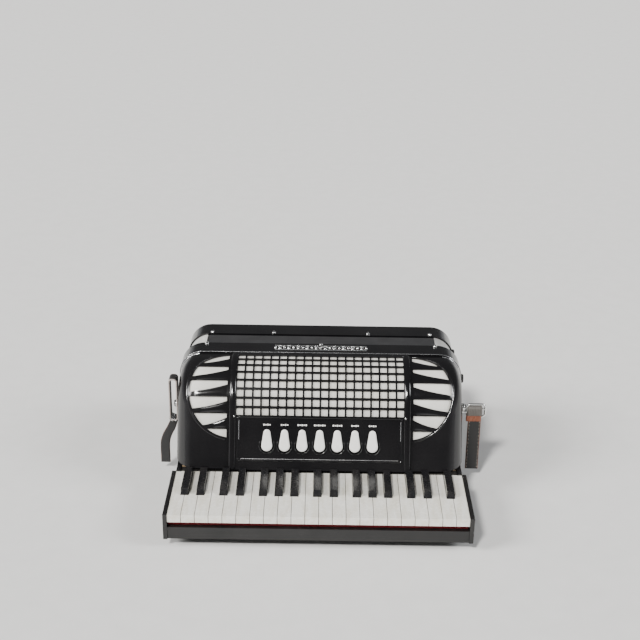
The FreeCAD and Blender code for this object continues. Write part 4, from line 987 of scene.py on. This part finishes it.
def make_strap_end_bottom():
    """The buckle at the floor end, the ribbed fold over its bar, and the worn strap that hangs from it."""
    bar = STUD_Z - 2.5 * MM
    body = "strap_end_bottom"
    low_x, high_x = 230.6 * MM, 251 * MM
    frame_path = ring_path(228.4 * MM, 257 * MM, bar - 13.5 * MM, bar + 8 * MM, 6 * MM)
    buckle = Shape().add(*sweep(frame_path, circle(1.7 * MM, 14), True, BACK))
    cross = [Vector((x * MM, STUD_Y, bar)) for x in (228.4, 236, 249, 257)]
    buckle.add(*sweep(cross, circle(1.6 * MM, 12)))
    buckle.add(*collar(1))
    lug = [Vector((x * MM, STUD_Y, STUD_Z - 8 * MM)) for x in (220.8, 224, 228.4)]
    buckle.add(*sweep(lug, circle(2.2 * MM, 10)))
    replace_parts(buckle.make("strap_buckle", CHROME, body), "strap_end_bottom")
    r = 3.3 * MM
    front, back = STUD_Y - r, STUD_Y + r
    places = [(front - 4 * MM, 15 * MM), (front - 1.5 * MM, 45 * MM), (front, 80 * MM), (front, bar - 8 * MM),
              (front, bar), (STUD_Y - r * 0.7, bar + r * 0.7), (STUD_Y, bar + r),
              (STUD_Y + r * 0.7, bar + r * 0.7), (back, bar), (back, bar - 10 * MM),
              (back + 0.5 * MM, bar - 24 * MM)]
    line = bend_line(places, 110)
    strap = Shape().add(*strap_surface(line, low_x, high_x, 2.6 * MM, 0.95))
    strap.make("strap_leather_bottom", LEATHER, body)

    def ribs(share, along):
        return -0.6 * MM * math.sin(share * math.pi * 9) ** 2

    def crumple(share, along):
        return 0.7 * MM * math.sin(share * 17 + along * 5) * math.sin(share * 41 + along * 3)

    over = [p for p in line if p.z > bar - 10.5 * MM]
    cuff = Shape().add(*strap_surface(over, low_x - 1.6 * MM, high_x + 1 * MM, 4.4 * MM, 0.35, ribs, 84))
    cuff.make("strap_fold_bottom", GREY_LEATHER, body)
    torn = [Vector((0, front - 1.6 * MM, z)) for z in steps(bar - 18.5 * MM, bar - 10 * MM, 10)]
    raw = Shape().add(*strap_surface(torn, low_x - 3.5 * MM, high_x - 0.5 * MM, 3.4 * MM, 0.2, crumple, 60))
    raw.make("strap_raw_edge_bottom", RAW_LEATHER, body)
    thread = Shape()
    hanging = [p for p in line if p.y < STUD_Y and p.z < bar - 19 * MM]
    for x in (low_x + 2.4 * MM, high_x - 2.4 * MM):
        for lift in (1.35 * MM, -1.35 * MM):
            stitches(thread, hanging, x, lift)
    thread.make("strap_stitches_bottom", THREAD, body)


def flat_loop(x_low, x_high, z_low, z_high, corner, thick, wide, keep=None):
    """A band bent into a rounded rectangle, sizes in millimetres, its rubbed edges facing front and back."""
    x_low, x_high, z_low, z_high, corner, thick, wide = (
        size * MM for size in (x_low, x_high, z_low, z_high, corner, thick, wide))
    path = ring_path(x_low, x_high, z_low, z_high, corner)
    if keep:
        path = [p for p in path if keep(p)]
    middle = Vector(((x_low + x_high) / 2, STUD_Y, (z_low + z_high) / 2))
    outs = [(p - middle).normalized() for p in path]
    soft = 0.35 * thick
    across = steps(-wide / 2 + soft, wide / 2 - soft, 8)
    profile = [(wide / 2, -thick / 2 + soft), (wide / 2, thick / 2 - soft)]
    profile += [(a, thick / 2) for a in across[::-1]]
    profile += [(-wide / 2, thick / 2 - soft), (-wide / 2, -thick / 2 + soft)]
    profile += [(a, -thick / 2) for a in across]
    verts, faces = sweep(path, profile, keep is None, outs)
    rub = [1.0 if abs(a) > wide / 2 - 1.2 * MM else 0.0 for a, _ in profile]
    return verts, faces, rub * len(path)


def make_strap_end_top():
    """The leather loop that hangs on the stud at the chin end, its eyelet and clip, and the strap's tail."""
    body = "strap_end_top"
    metal = Shape().add(*collar(-1))
    verts, faces, _ = flat_loop(-234.1, -219.4, 93.4, 166.6, 5.6, 1.1, 19.6,
                                lambda p: p.z < 112 * MM and p.x < -222 * MM)
    metal.add(verts, faces)
    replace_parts(metal.make("strap_eyelet_and_clip", SILVER, body), "strap_end_top")
    loop = Shape().add(*flat_loop(-232.4, -221.1, 95.1, 164.9, 3.9, 2.1, 20))
    loop.make("strap_loop_top", LOOP_LEATHER, body)
    spine = bend_line([(-227.5, 93.5), (-229.5, 86), (-233, 77), (-238.5, 66), (-242.5, 54), (-243.5, 40),
                       (-243.5, 27), (-243.5, 14.5)], 70)
    loops, wear = [], []
    for i, place in enumerate(spine):
        x, z = place.y * MM, place.z * MM
        share = i / (len(spine) - 1)
        half = (5.6 + 1.9 * min(1.0, share * 3)) * MM
        loop = []
        for side, across in both_sides(12):
            edge = max(1 - abs(across), 0.0)
            soft = min(1.0, edge / 0.12) ** 0.5
            loop.append(Vector((x - across * half, STUD_Y + side * 1.3 * MM * (0.35 + 0.65 * soft), z)))
            wear.append(max(0.0, 0.95 * (1 - edge / 0.2)))
        loops.append(loop)
    Shape().add(*rings(loops), wear).make("strap_tail_top", LEATHER, body)


# ---- bass strap


def make_bass_strap():
    """The padded hand strap over the end plate, its stitching, end plates and screws."""
    low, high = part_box("bass_strap")
    span, tab, rise = 182 * MM, 22 * MM, 62 * MM
    lift_high = high.y - low.y - 4 * MM
    thick = 3.6 * MM

    def lift(x):
        share = min(max((span - tab - abs(x)) / rise, 0), 1)
        return lift_high * share * share * (3 - 2 * share)

    xs = steps(-span, span, 120)
    z_mid, half = (low.z + high.z) / 2, (high.z - low.z) / 2

    def width(x):
        """The strap narrows towards its ends."""
        return half * (0.74 + 0.26 * min(1.0, (span - abs(x)) / (70 * MM)) ** 0.7)

    def outward(x):
        slope = (lift(min(x + 1 * MM, span)) - lift(max(x - 1 * MM, -span))) / (2 * MM)
        return Vector((-slope, 1, 0)).normalized()

    loops, wear = [], []
    for x in xs:
        out = outward(x)
        centre = Vector((x, low.y + 0.1 * MM + thick / 2 + lift(x), z_mid))
        puff = 1.3 * MM * min(1, max(0, (span - tab - 20 * MM - abs(x)) / (40 * MM)))
        loop = []
        for side, across in both_sides(22):
            edge = max(1 - abs(across), 0.0)
            soft = min(1.0, edge / 0.05) ** 0.5
            crown = puff * max(0.0, 1 - (abs(across) / 0.86) ** 4) if side < 0 else 0.0
            reach = side * thick / 2 * (0.3 + 0.7 * soft) - crown
            loop.append(centre + Vector((0, 0, across * width(x))) + out * reach)
            wear.append(max(0.0, 0.8 * (1 - edge / 0.09)))
        loops.append(loop)
    band = Shape().add(*rings(loops), wear).make("bass_strap_leather", LEATHER, "bass")
    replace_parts(band, "bass_strap")
    thread = Shape()
    for sign in (-1, 1):
        travelled = 0.0
        for x0, x1 in zip(xs, xs[1:]):
            travelled += x1 - x0
            if travelled < 5.6 * MM or abs(x0) > span - 6 * MM:
                continue
            travelled = 0.0
            ends = []
            for x, dip in ((x0 - 1.6 * MM, -0.2), (x0, 0.15), (x0 + 1.6 * MM, -0.2)):
                centre = Vector((x, low.y + 0.1 * MM + thick / 2 + lift(x), z_mid + sign * width(x) * 0.88))
                ends.append(centre + outward(x) * (thick / 2 + dip * MM))
            thread.add(*sweep(ends, circle(0.4 * MM, 6), False, UP))
    thread.make("bass_strap_stitches", THREAD, "bass")
    metal = Shape()
    for side in (-1, 1):
        centre = Vector((side * (span - tab / 2), low.y + thick + 0.2 * MM, z_mid))
        metal.add(*rounded_block(centre, ACROSS, UP, BACK, 17 * MM, 40 * MM, 1.2 * MM, 0.5))
        for dz in (-14 * MM, 14 * MM):
            head = [(0.0, 0.6), (4.2, 0.6), (4.2, 1.6), (3.4, 2.5), (1.8, 2.9), (0.0, 3.0)]
            metal.add(*lathe(head, centre + Vector((0, 0, dz)), (0, 1, 0), 24))
    metal.make("bass_strap_plates", CHROME, "bass")


# ---- stage


def make_stage():
    """The pale floor, the studio's soft light, brighter near the horizon, and three soft suns."""
    floor = Nodes("floor_pale")
    grain = floor.noise(30, 4)
    floor.color(floor.mix(floor.ramp(grain, 0.3, 0.7, 0, 1), (0.74, 0.735, 0.72), (0.77, 0.765, 0.75)))
    floor.set(Roughness=0.7)
    reach = 60
    verts = [(-reach, -reach, 0), (reach, -reach, 0), (reach, reach, 0), (-reach, reach, 0)]
    piece("floor", verts, [[0, 1, 2, 3]], floor.material)
    world = bpy.data.worlds.new("studio")
    bpy.context.scene.world = world
    world.use_nodes = True
    tree = world.node_tree
    height = tree.nodes.new("ShaderNodeSeparateXYZ")
    tree.links.new(tree.nodes.new("ShaderNodeTexCoord").outputs["Generated"], height.inputs[0])
    fade = tree.nodes.new("ShaderNodeMapRange")
    for key, value in (("From Min", 0.10), ("From Max", 0.20), ("To Min", 0.62), ("To Max", 0.13)):
        fade.inputs[key].default_value = value
    tree.links.new(height.outputs["Z"], fade.inputs["Value"])
    tree.links.new(fade.outputs["Result"], tree.nodes["Background"].inputs["Strength"])
    tree.nodes["Background"].inputs["Color"].default_value = (0.97, 0.98, 1.0, 1)
    for name, place, spread, power, tint in (
        ("front_light", (-0.3, -0.62, 0.72), 8, 3.6, (1.0, 0.99, 0.97)),
        ("left_light", (-0.78, -0.3, 0.55), 22, 2.9, (1.0, 0.99, 0.98)),
        ("right_light", (0.8, -0.2, 0.55), 22, 1.8, (0.97, 0.98, 1.0)),
    ):
        light = bpy.data.lights.new(name, "SUN")
        light.energy, light.angle, light.color = power, math.radians(spread), tint
        lamp = bpy.data.objects.new(name, light)
        bpy.context.scene.collection.objects.link(lamp)
        lamp.location = place
        lamp.rotation_euler = (-Vector(place)).to_track_quat("-Z", "Y").to_euler()


def make_camera():
    """The camera stands in front of the keyboard and looks down at it."""
    camera = bpy.data.cameras.new("camera")
    camera.sensor_width = 36
    camera.lens = 66.5
    obj = bpy.data.objects.new("camera", camera)
    bpy.context.scene.collection.objects.link(obj)
    obj.location = (-0.0021, FOOT_Y - 1.5275, FOOT_Z + 0.928)
    pitch, roll = math.radians(24), math.radians(0.85)
    look = Matrix.Rotation(math.radians(90) - pitch, 4, "X") @ Matrix.Rotation(roll, 4, "Z")
    obj.rotation_euler = look.to_euler()
    bpy.context.scene.camera = obj


for make in (
    make_camera, dress_cad, make_cloth, make_ribs, make_fan_arms, make_switches, make_wells,
    make_switch_marks, make_switch_panel, make_trim, make_pin_heads, make_studs, make_feet, make_ornament,
    make_bellows, make_strap_end_bottom, make_strap_end_top, make_bass_strap, make_stage,
):
    make()
